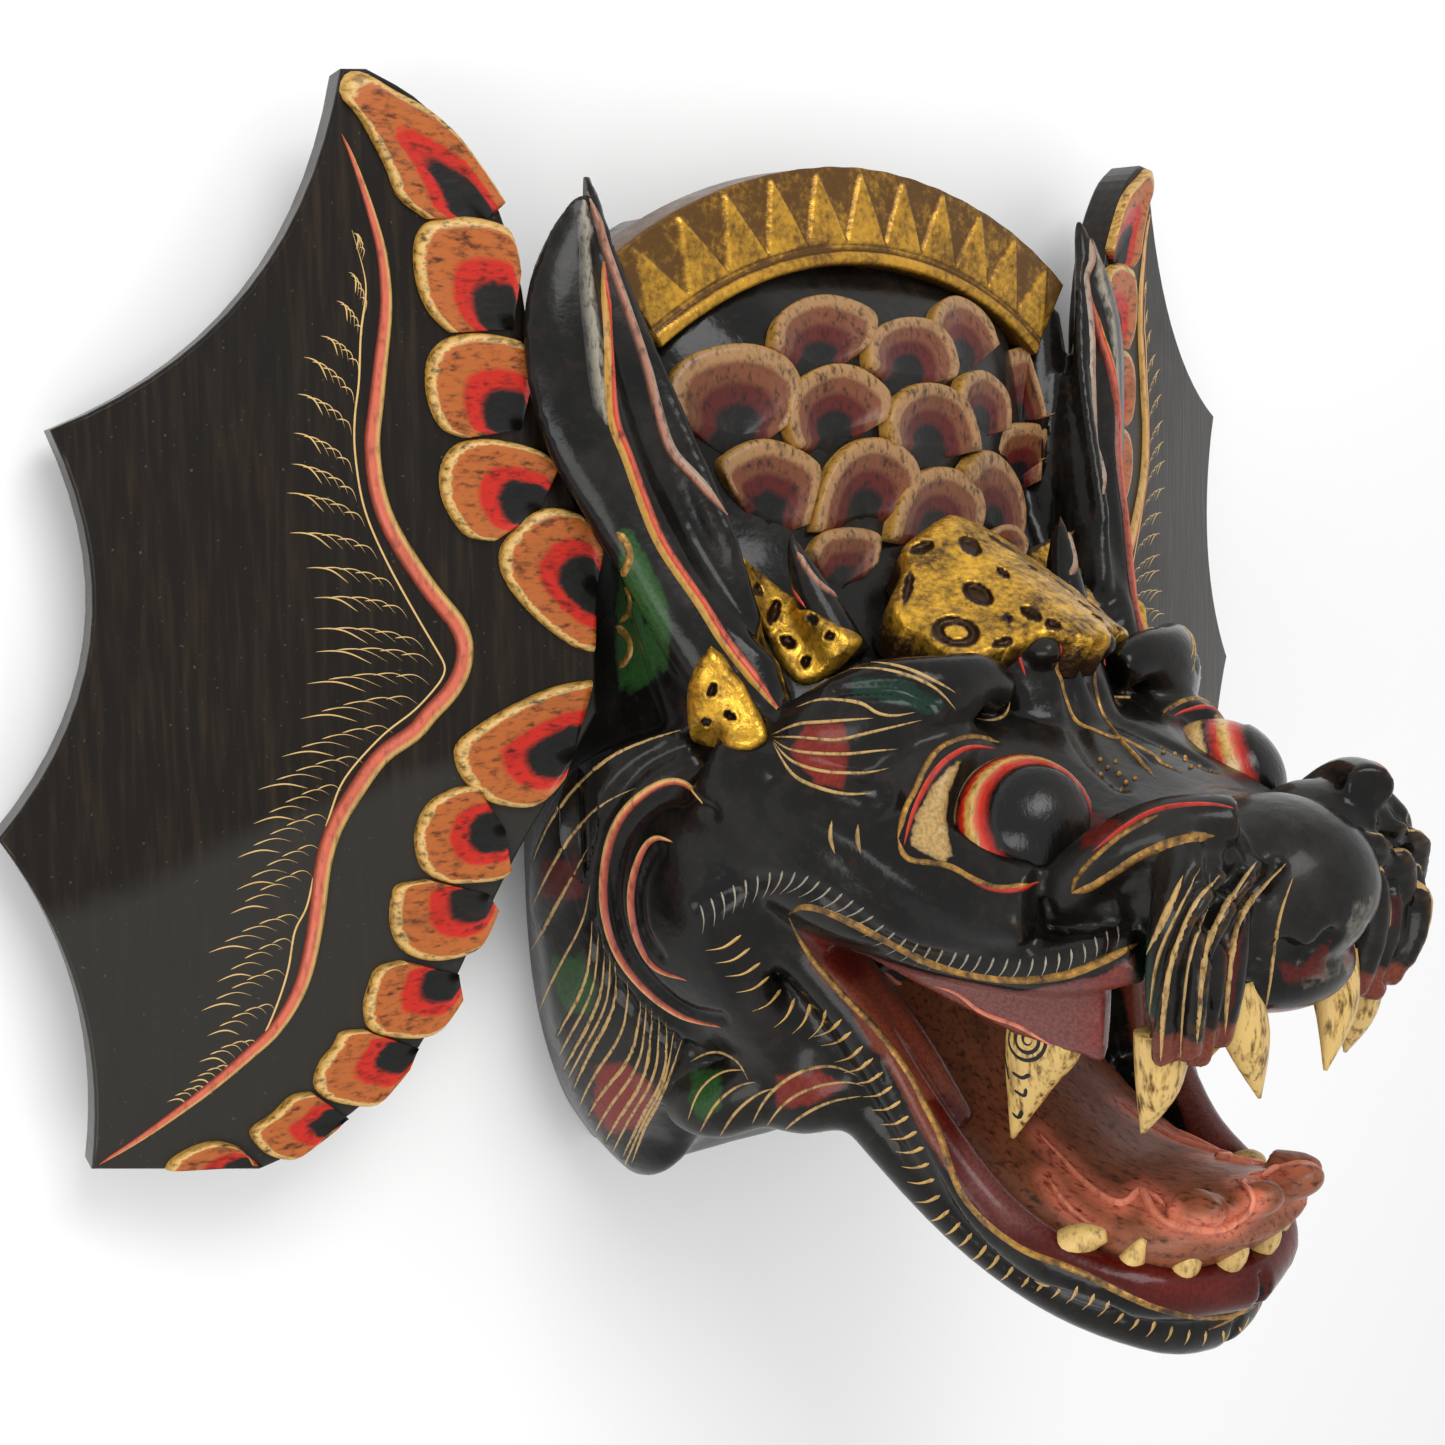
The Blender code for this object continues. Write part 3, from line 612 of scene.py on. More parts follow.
class Surface:
    """A mesh that lines and pieces are laid on."""

    def __init__(self, obj: bpy.types.Object) -> None:
        """Reads the mesh of an object.

        Args:
            obj: The object, whose mesh is in the row's frame.
        """
        bm = bmesh.new()
        bm.from_mesh(obj.data)
        self.tree = BVHTree.FromBMesh(bm)
        bm.free()

    def under(self, pixel: Pixel) -> Optional[tuple[Vector, Vector]]:
        """Place and normal where the photograph's ray first meets the surface."""
        place, normal, _, _ = self.tree.ray_cast(Vector(VIEW.place), VIEW.ray(pixel))
        return None if place is None else (place, normal)

    def snap(self, point: Vector) -> tuple[Vector, Vector]:
        """Nearest place on the surface, and the normal there."""
        place, normal, _, _ = self.tree.find_nearest(point)
        return place, normal

    def path(self, pixels: Sequence[Pixel], step: float = 1.6 * MM,
             ease: int = 2) -> list[tuple[Vector, Vector]]:
        """Lays a smooth curve through picture points onto the surface.

        Args:
            pixels: Picture points.
            step: Distance between the curve's points.
            ease: Rounds of smoothing.

        Returns:
            Places and normals along the curve.
        """
        rows = catmull(pixels, max(len(pixels) * 8, 12))
        hits = [self.under((row[0], row[1])) for row in rows]
        reach = 1.1 * MM * sum(math.dist(a, b) for a, b in zip(rows, rows[1:])) / len(rows) + 3.0 * MM
        runs: list[list[Vector]] = [[]]
        for hit in hits:
            if hit is None or (runs[-1] and (hit[0] - runs[-1][-1]).length > reach):
                runs.append([])
            if hit is not None:
                runs[-1].append(hit[0])
        places = max(runs, key=len)
        if len(places) < 3:
            return []
        return self.follow(places, step, ease)

    def follow(self, places: Sequence[Vector], step: float, ease: int = 2) -> list[tuple[Vector, Vector]]:
        """Spaces points evenly along a line and lays them on the surface."""
        lengths = [0.0]
        for a, b in zip(places, places[1:]):
            lengths.append(lengths[-1] + (b - a).length)
        total = lengths[-1]
        count = max(int(total / step), 3)
        out, k = [], 0
        for i in range(count + 1):
            want = total * i / count
            while k < len(lengths) - 2 and lengths[k + 1] < want:
                k += 1
            span = max(lengths[k + 1] - lengths[k], 1e-9)
            out.append(places[k].lerp(places[k + 1], (want - lengths[k]) / span))
        for _ in range(ease):
            out = [out[0]] + [(a + b * 2 + c) / 4 for a, b, c in zip(out, out[1:], out[2:])] + [out[-1]]
        snapped = [self.snap(p) for p in out]
        normals = [n for _, n in snapped]
        eased = []
        for i in range(len(normals)):
            near = normals[max(i - 2, 0):i + 3]
            eased.append(sum(near, Vector()).normalized())
        return [(snapped[i][0], eased[i]) for i in range(len(out))]


def blade(t: float) -> float:
    """Width profile of a brush line: pointed at both ends."""
    return math.sqrt(max(math.sin(math.pi * min(max(t, 0.0), 1.0)), 0.0))


def comet(t: float) -> float:
    """Width profile of a tick: thick at its start and pointed at its end."""
    return max(min(1.0, 6.0 * t + 0.3) * (1.0 - t) ** 0.6, 0.08)


def cord(t: float) -> float:
    """Width profile of a long line that thins only near its ends."""
    return min(1.0, 0.25 + 9.0 * t, 0.25 + 9.0 * (1.0 - t))


class Ribbons:
    """Painted lines and raised welts that follow a surface."""

    def __init__(self, surface: Surface) -> None:
        """Starts an empty set of ribbons.

        Args:
            surface: What they lie on.
        """
        self.surface = surface
        self.bm = bmesh.new()
        self.across = self.bm.verts.layers.float.new("across")

    def lay(self, path: Sequence[tuple[Vector, Vector]], width: float, height: float,
            profile: Callable[[float], float] = blade, spans: int = 3, sink: float = 0.0002) -> None:
        """Adds one ribbon.

        Args:
            path: Places and normals along its middle.
            width: Its widest width.
            height: Height of its crest over the surface.
            profile: Share of the width along its length.
            spans: Number of faces across.
            sink: How deep its edges go into the surface.
        """
        if len(path) < 3:
            return
        last = len(path) - 1
        rows = []
        for i, (place, normal) in enumerate(path):
            ahead = path[min(i + 1, last)][0] - path[max(i - 1, 0)][0]
            side = normal.cross(ahead).normalized()
            share = profile(i / last)
            row = []
            for j in range(spans + 1):
                a = 2.0 * j / spans - 1.0
                base = place + side * (a * width / 2 * share)
                if width > 2.5 * MM:
                    base, _ = self.surface.snap(base)
                crest = math.sqrt(max(1.0 - a * a, 0.0)) * height * max(share, 0.35) - sink * abs(a)
                vert = self.bm.verts.new(base + normal * crest)
                vert[self.across] = a * 0.5 + 0.5
                row.append(vert)
            rows.append(row)
        Maker.skin(self.bm, rows)

    def build(self, name: str, finish: object, slot: Slot) -> bpy.types.Object:
        """Makes one piece of all the ribbons and their mirror images.

        Args:
            name: Name of the piece.
            finish: Its finish.
            slot: The record's slot.

        Returns:
            The piece.
        """
        Maker.mirror(self.bm)
        return Maker.dress(Maker.object_from(self.bm, name), finish, slot)


@dataclass
class WingPlane:
    """Where the wings stand: a board's own x runs out along the sweep and its z to the front."""

    root: float = 0.1245
    height: float = 0.0705
    sweep: float = math.radians(16.0)
    lean: float = math.radians(-2.1)

    def matrix(self) -> Matrix:
        """Matrix of the right wing."""
        turn = Matrix.Rotation(self.sweep, 4, "Y") @ Matrix.Rotation(self.lean, 4, "X")
        return Matrix.Translation((self.root, 0.0, self.height)) @ turn

    def at(self, pixel: Pixel) -> Vector:
        """Place on the board's front, in its own x and y, of a picture point on the left wing."""
        flip = Matrix.Diagonal((-1.0, 1.0, 1.0, 1.0))
        back = (flip @ self.matrix()).inverted()
        eye = back @ Vector(VIEW.place)
        ray = back.to_3x3() @ VIEW.ray(pixel)
        spot = eye - ray * (eye.z / ray.z)
        return Vector((spot.x, spot.y, 0.0))


WING = WingPlane()


@dataclass
class WingScale:
    """One painted scale of a wing: a fan of rings round its black eye."""

    eye: Pixel
    rim: tuple[Pixel, ...]


@dataclass
class Wings:
    """The two wing boards with their scales, rib, gold line and fine hairs."""

    thickness: float = 14.0 * MM
    edge_round: float = 1.1 * MM
    bays: tuple[float, float, float] = (18.1 * MM, 18.0 * MM, 9.5 * MM)
    relief: float = 3.4 * MM
    rib_width: float = 6.0 * MM
    rib_height: float = 2.6 * MM
    tuft_hairs: int = 5
    hair_width: float = 0.75 * MM
    hair_height: float = 0.22 * MM
    tongue_reach: float = 34.0 * MM
    corners: tuple[Pixel, ...] = (
        (67.6, 199.3), (75.3, 198.8), (162.1, 95.5), (182.6, -18.4), (162.5, -118.1))
    lower_edge: tuple[Pixel, ...] = (
        (113.8, -126.6), (101.4, -122.5), (79.0, -110.2), (60.7, -93.8), (41.5, -60.9), (27.4, -36.8),
        (15.1, -18.7), (0.0, 5.0))
    upper_edge: tuple[Pixel, ...] = (
        (0.0, 60.0), (18.2, 103.5), (20.5, 133.8), (27.8, 160.4), (36.8, 176.2), (51.8, 191.3), (67.6, 199.3))
    scales: tuple[WingScale, ...] = (
        WingScale((484, 222), ((426, 219), (398, 198), (387, 171), (373, 143), (357, 115), (340, 94),
            (346, 74), (364, 74), (391, 90), (424, 108), (454, 134), (475, 161), (491, 184), (503, 203))),
        WingScale((512, 330), ((449, 333), (429, 313), (417, 286), (413, 253), (419, 230), (433, 220),
            (461, 217), (488, 221), (507, 230), (515, 251), (518, 268))),
        WingScale((520, 430), ((463, 438), (442, 429), (429, 406), (425, 378), (429, 355), (445, 339),
            (470, 333), (498, 336), (521, 343), (528, 359), (530, 376))),
        WingScale((538, 512), ((491, 541), (465, 535), (445, 507), (439, 479), (445, 456), (461, 442),
            (488, 439), (521, 445), (544, 454), (556, 465))),
        WingScale((596, 588), ((591, 652), (567, 643), (530, 613), (505, 581), (499, 553), (511, 532),
            (530, 514), (553, 508), (581, 516), (592, 535), (600, 548))),
        WingScale((572, 756), ((590, 680), (553, 687), (512, 705), (480, 724), (456, 744), (456, 765),
            (466, 783), (484, 799), (507, 806), (530, 806), (546, 796), (560, 780))),
        WingScale((504, 829), ((473, 785), (451, 789), (428, 803), (416, 826), (415, 848), (423, 870),
            (446, 882), (474, 882), (497, 879), (508, 872))),
        WingScale((488, 894), ((426, 879), (398, 884), (391, 898), (390, 925), (400, 948), (423, 959),
            (451, 958), (476, 948), (488, 930), (496, 910))),
        WingScale((458, 974), ((400, 960), (377, 967), (368, 985), (363, 1008), (369, 1029), (391, 1036),
            (419, 1037), (437, 1030), (449, 1017), (460, 1000))),
        WingScale((418, 1048), ((363, 1029), (340, 1032), (333, 1045), (320, 1061), (313, 1082), (322, 1096),
            (345, 1103), (373, 1104), (391, 1087), (405, 1070))),
        WingScale((348, 1118), ((310, 1091), (290, 1096), (271, 1114), (251, 1128), (253, 1140), (267, 1153),
            (290, 1158), (308, 1147), (330, 1130))),
        WingScale((262, 1166), ((165, 1168), (172, 1158), (193, 1146), (213, 1141), (232, 1144), (244, 1152),
            (250, 1162))),
    )
    rib: tuple[Pixel, ...] = (
        (341, 134), (350, 152), (362, 184), (371, 212), (380, 244), (385, 276), (386, 313), (381, 359),
        (376, 406), (372, 442), (376, 484), (387, 521), (408, 558), (433, 594), (456, 622), (465, 645),
        (461, 673), (447, 696), (429, 714), (415, 732), (382, 755), (355, 792), (334, 828), (323, 865),
        (318, 907), (313, 939), (306, 971), (295, 999), (274, 1031), (249, 1054), (212, 1086), (175, 1114),
        (138, 1140), (99, 1164))
    stem: tuple[Pixel, ...] = (
        (352, 230), (364, 272), (366, 295), (361, 332), (359, 382), (355, 415), (355, 452), (364, 507),
        (385, 558), (415, 613), (442, 659), (446, 668), (440, 682), (415, 710), (382, 736), (345, 778),
        (330, 815), (318, 856), (307, 907), (295, 930), (288, 971), (274, 1013), (258, 1045), (230, 1077),
        (198, 1098))
    tufts: tuple[tuple[Pixel, Pixel], ...] = (
        ((353, 233), (360, 262)), ((348, 272), (364, 318)), ((336, 301), (361, 345)),
        ((320, 336), (360, 378)), ((303, 357), (357, 410)), ((297, 394), (355, 440)),
        ((293, 433), (356, 478)), ((291, 464), (361, 506)), ((286, 493), (371, 530)),
        ((289, 533), (384, 560)), ((306, 568), (402, 592)), ((313, 598), (415, 618)),
        ((314, 629), (434, 650)), ((315, 652), (443, 664)), ((306, 684), (440, 680)),
        ((300, 719), (428, 696)), ((281, 757), (402, 722)), ((257, 790), (372, 752)),
        ((253, 824), (348, 778)), ((237, 858), (334, 806)), ((236, 890), (326, 836)),
        ((230, 914), (318, 862)), ((208, 953), (308, 908)), ((217, 982), (298, 930)),
        ((201, 1011), (291, 962)), ((207, 1036), (280, 1000)), ((199, 1062), (262, 1040)),
        ((189, 1083), (240, 1066)), ((167, 1102), (214, 1088)))

    def outline(self) -> list[Vector]:
        """The board's outline in its own plane."""
        points = [Vector((x * MM, y * MM, 0.0)) for x, y in self.corners[:2]]
        for start, end, depth in zip(self.corners[1:], self.corners[2:], self.bays):
            a, b = (Vector((x * MM, y * MM, 0.0)) for x, y in (start, end))
            along = b - a
            inward = Vector((along.y, -along.x, 0.0)).normalized()
            for i in range(1, 15):
                t = i / 14
                points.append(a + along * t + inward * depth * 4 * t * (1 - t))
        rows = catmull(self.lower_edge, 25) + catmull(self.upper_edge, 21)[:-1]
        points.extend(Vector((x * MM, y * MM, 0.0)) for x, y in rows)
        return points

    def place(self, obj: bpy.types.Object, side: Side) -> None:
        """Moves a mesh from the board's own plane to its wing."""
        matrix = WING.matrix()
        if side is Side.LEFT:
            matrix = Matrix.Diagonal((-1.0, 1.0, 1.0, 1.0)) @ matrix
        obj.data.transform(matrix)
        if side is Side.LEFT:
            obj.data.flip_normals()

    def board_mesh(self, name: str) -> bpy.types.Object:
        """The board with rounded edges and its tongue, in its own plane."""
        bm = bmesh.new()
        outline = self.outline()
        rings = []
        r = self.edge_round
        steps = ((-self.thickness, r), (-self.thickness + r * 0.3, r * 0.3), (-self.thickness + r, 0.0),
                 (-r, 0.0), (-r * 0.3, r * 0.3), (0.0, r))
        count = len(outline)
        normals = []
        for i, point in enumerate(outline):
            ahead = (outline[(i + 1) % count] - point).normalized()
            behind = (point - outline[i - 1]).normalized()
            along = (ahead + behind).normalized()
            normals.append(Vector((along.y, -along.x, 0.0)))
        for z, margin in steps:
            rings.append([p + n * margin + Vector((0, 0, z)) for p, n in zip(outline, normals)])
        layers = [[bm.verts.new(p) for p in ring] for ring in rings]
        Maker.skin(bm, layers, True)
        bm.faces.new(layers[0][::-1])
        bm.faces.new(layers[-1])
        bmesh.ops.recalc_face_normals(bm, faces=bm.faces)
        bmesh.ops.triangulate(bm, faces=[f for f in bm.faces if len(f.verts) > 4])
        middle = -self.thickness / 2
        size = Vector((self.tongue_reach + 20 * MM, 30 * MM, 9 * MM))
        centre = Vector((-self.tongue_reach / 2 + 10 * MM, 81 * MM, middle))
        shape = Matrix.Translation(centre) @ Matrix.Diagonal((*size, 1.0))
        bmesh.ops.create_cube(bm, size=1.0, matrix=shape)
        obj = Maker.object_from(bm, name)
        for face in obj.data.polygons:
            face.use_smooth = abs(face.normal.z) < 0.98 and face.area < 4e-5
        return obj

    def scale_mesh(self, bm: bmesh.types.BMesh, scale: WingScale) -> None:
        """Adds one scale as rings round its eye, with a raised rim and dished middle.

        Args:
            bm: Mesh to add to, in the board's own plane.
            scale: The scale.
        """
        ring_layer = bm.verts.layers.float.get("ring") or bm.verts.layers.float.new("ring")
        eye = WING.at(scale.eye)
        rim = [WING.at(p) for p in catmull(scale.rim, 34)]
        levels = ((0.0, 0.35), (0.18, 0.42), (0.3, 0.5), (0.45, 0.62), (0.6, 0.78), (0.75, 0.92),
                  (0.86, 1.0), (0.93, 0.98), (0.985, 0.78), (1.0, 0.45), (1.004, -0.15))
        rows = []
        for share, lift in levels:
            row = []
            for point in rim:
                spot = eye.lerp(point, share)
                vert = bm.verts.new((spot.x, spot.y, lift * self.relief))
                vert[ring_layer] = min(share, 1.0)
                row.append(vert)
            rows.append(row)
        Maker.skin(bm, rows)
        edges = [(row[0], row[-1]) for row in rows]
        for end in (0, 1):
            for a, b in zip(edges, edges[1:]):
                low = [bm.verts.new((v.co.x, v.co.y, -0.5 * MM)) for v in (a[end], b[end])]
                for v, source in zip(low, (a[end], b[end])):
                    v[ring_layer] = source[ring_layer]
                bm.faces.new((a[end], b[end], low[1], low[0]))

    def hairs(self, lines: Ribbons) -> None:
        """Adds the comb of fine hooked hairs beside the gold line, in the left wing's place."""
        for tip, root in self.tufts:
            tip_at, root_at = Vector((*tip, 0.0)), Vector((*root, 0.0))
            for k in range(self.tuft_hairs):
                share = k / self.tuft_hairs
                sway = Vector((3.0 * share, -7.0 * math.sin(3 * share), 0))
                start = tip_at.lerp(root_at, share * 0.82) + sway
                reach = (root_at - tip_at) * (0.5 - 0.28 * share)
                end = start + Vector((reach.x * 0.9, reach.y * 0.55 + 9.0, 0.0))
                bend = start.lerp(end, 0.55) + Vector((4.0, -5.0, 0.0))
                rise = start.lerp(bend, 0.5) + Vector((1, -2, 0))
                pixels = [tuple(p)[:2] for p in (start, rise, bend, end)]
                path = lines.surface.path(pixels, 1.0 * MM, 1)
                lines.lay(path, self.hair_width, self.hair_height, comet if k else blade)

    def build(self) -> None:
        """Makes both wings."""
        board_finish = WingLacquerWithReflection().material()
        scale_finish = BandPaint("wing_scale_paint", "ring", (
            (0.0, Paint.BLACK), (0.39, Paint.BLACK), (0.41, Paint.DARK_RED), (0.46, Paint.RED),
            (0.6, Paint.RED), (0.66, Paint.TAN), (0.9, Paint.TAN), (0.925, Paint.CREAM),
            (1.0, Paint.OLD_GOLD)), jitter=0.08, streaks=0.9, stain=0.5, grain=(0.35, 1.0, 1.0)).material()
        rib_finish = BandPaint("wing_rib_paint", "across", (
            (0.0, Paint.DARK_RED), (0.2, Paint.SALMON), (0.5, Paint.SALMON), (0.72, Paint.CREAM),
            (1.0, Paint.OLD_GOLD)), jitter=0.08).material()
        line_finish = Gilding("hair_line_gold", Paint.CREAM, Paint.OLD_GOLD, 0.0, 0.4, 0.5).material()
        for side, name in ((Side.RIGHT, "wing_right"), (Side.LEFT, "wing_left")):
            board = self.board_mesh(name + "_board")
            self.place(board, side)
            Maker.dress(board, board_finish, Slot.WING, name)
            bm = bmesh.new()
            for scale in self.scales:
                self.scale_mesh(bm, scale)
            bmesh.ops.remove_doubles(bm, verts=bm.verts, dist=0.00001)
            bmesh.ops.recalc_face_normals(bm, faces=bm.faces)
            scales = Maker.object_from(bm, name + "_scales")
            self.place(scales, side)
            Maker.dress(scales, scale_finish, Slot.WING)
        surface = Surface(board)
        ribs = Ribbons(surface)
        ribs.lay(surface.path(self.rib, 2.0 * MM), self.rib_width, self.rib_height, blade, spans=8)
        ribs.build("wing_ribs", rib_finish, Slot.WING)
        lines = Ribbons(surface)
        lines.lay(surface.path(self.stem), 0.9 * MM, 0.3 * MM, cord)
        self.hairs(lines)
        lines.build("wing_hair_lines", line_finish, Slot.WING)


@dataclass(frozen=True)
class WingLacquerWithReflection:
    """Brown-black brushed lacquer of the wing boards, with a painted grey reflection over the lower part."""

    name: str = "wing_lacquer_and_painted_reflection"
    reflection_edge: float = -3.0 * MM
    reflection_slope: float = 0.28

    def material(self) -> bpy.types.Material:
        """Makes the material."""
        s = Shade(self.name)
        cloud = s.noise(18.0, 5.0, 0.6)
        streak = s.noise(420.0, 3.0, 0.55, (1.0, 0.07, 1.0))
        dots = s.noise(700.0, 1.0, 0.4)
        where = s.node("ShaderNodeSeparateXYZ")
        s.feed(where.inputs[0], s.node("ShaderNodeTexCoord").outputs["Object"])
        out = s.math("ABSOLUTE", where.outputs["X"])
        # painted reflection: below a slanting edge the board is tinted grey where the gloss catches the light
        level = s.math("ADD", where.outputs["Y"], s.math("MULTIPLY", out, self.reflection_slope))
        level = s.math("ADD", level, s.math("MULTIPLY", cloud, 0.02))
        low = s.spread(level, self.reflection_edge + 0.058, self.reflection_edge + 0.048)
        tone = s.mix(s.spread(streak, 0.4, 0.8, 0.0, 0.8), Paint.WARM_BLACK, linear(46, 36, 25))
        tone = s.mix(s.spread(cloud, 0.45, 0.8, 0.0, 0.5), tone, Paint.BLACK)
        # lays the painted grey reflection over the lower part of the board
        tone = s.mix(s.math("MULTIPLY", low, 0.72), tone, Paint.GREY_BLACK)
        tone = s.mix(s.spread(dots, 0.74, 0.8, 0.0, 0.3), tone, linear(104, 98, 88))
        s.socket("Base Color", tone)
        s.socket("Roughness", s.spread(cloud, 0.3, 0.8, 0.24, 0.4))
        s.socket("Specular IOR Level", 0.14)
        s.socket("Coat Weight", 0.1)
        s.socket("Coat Roughness", 0.2)
        s.socket("Normal", s.bump(streak, 0.0004, 0.35))
        return s.material


@dataclass(frozen=True)
class Form:
    """A rounded bar of the carving: stations (x, y, z, half width, half height) in millimetres."""

    stations: tuple[tuple[float, float, float, float, float], ...]
    across: tuple[float, float, float] = (1.0, 0.0, 0.0)
    power: float = 2.0
    steps: int = 5
    paired: bool = True

    def add(self, bm: bmesh.types.BMesh, sides: int = 20) -> None:
        """Adds the bar, and its mirror image if it is one of a pair."""
        rows = catmull(self.stations, (len(self.stations) - 1) * self.steps + 1)
        points = [Vector(row[:3]) * MM for row in rows]
        across = Vector(self.across)
        for flip in (1, -1) if self.paired else (1,):
            rings = []
            for i, row in enumerate(rows):
                ahead = points[min(i + 1, len(points) - 1)] - points[max(i - 1, 0)]
                up = ahead.cross(across).normalized()
                side = up.cross(ahead).normalized()
                ring = Maker.ring(points[i], side, up, max(row[3], 0.3) * MM, max(row[4], 0.3) * MM,
                                  self.power, sides)
                rings.append([Vector((p.x * flip, p.y, p.z)) for p in ring])
            Maker.loft(bm, rings)


@dataclass(frozen=True)
class Ball:
    """An ellipsoid of the carving, in millimetres."""

    centre: tuple[float, float, float]
    radii: tuple[float, float, float]
    paired: bool = True

    def add(self, bm: bmesh.types.BMesh) -> None:
        """Adds the ellipsoid, and its mirror image if it is one of a pair."""
        for flip in (1, -1) if self.paired else (1,):
            centre = Vector((self.centre[0] * flip, self.centre[1], self.centre[2])) * MM
            shape = Matrix.Diagonal((self.radii[0] * MM, self.radii[1] * MM, self.radii[2] * MM, 1.0))
            bmesh.ops.create_uvsphere(bm, u_segments=28, v_segments=18, radius=1.0,
                                      matrix=Matrix.Translation(centre) @ shape)


def mane_locks() -> tuple[Form, ...]:
    """The locks that sweep back and down behind the cheeks."""
    out = []
    for i in range(6):
        drop = 24.0 * i
        wide = 1.0 - 0.07 * i
        out.append(Form(((102, -6 - drop * 0.9, 94 - i * 5, 8, 5),
                         (114 * wide + 3, -22 - drop, 66 - i * 3, 14, 8),
                         (117 * wide, -48 - drop * 0.92, 40, 14, 8),
                         (106 * wide, -74 - drop * 0.8, 18, 11, 7)), (0, 1, 0)))
    return tuple(out)


@dataclass(frozen=True)
class Cut:
    """A ridge or groove of the carving along picture points of the left half."""

    line: tuple[Pixel, ...]
    height: float
    reach: float


@dataclass(frozen=True)
class Patch:
    """A painted patch of the left half, inside picture points."""

    paint: Paint
    rim: tuple[Pixel, ...]
    cover: float = 0.9
    feather: float = 8.0


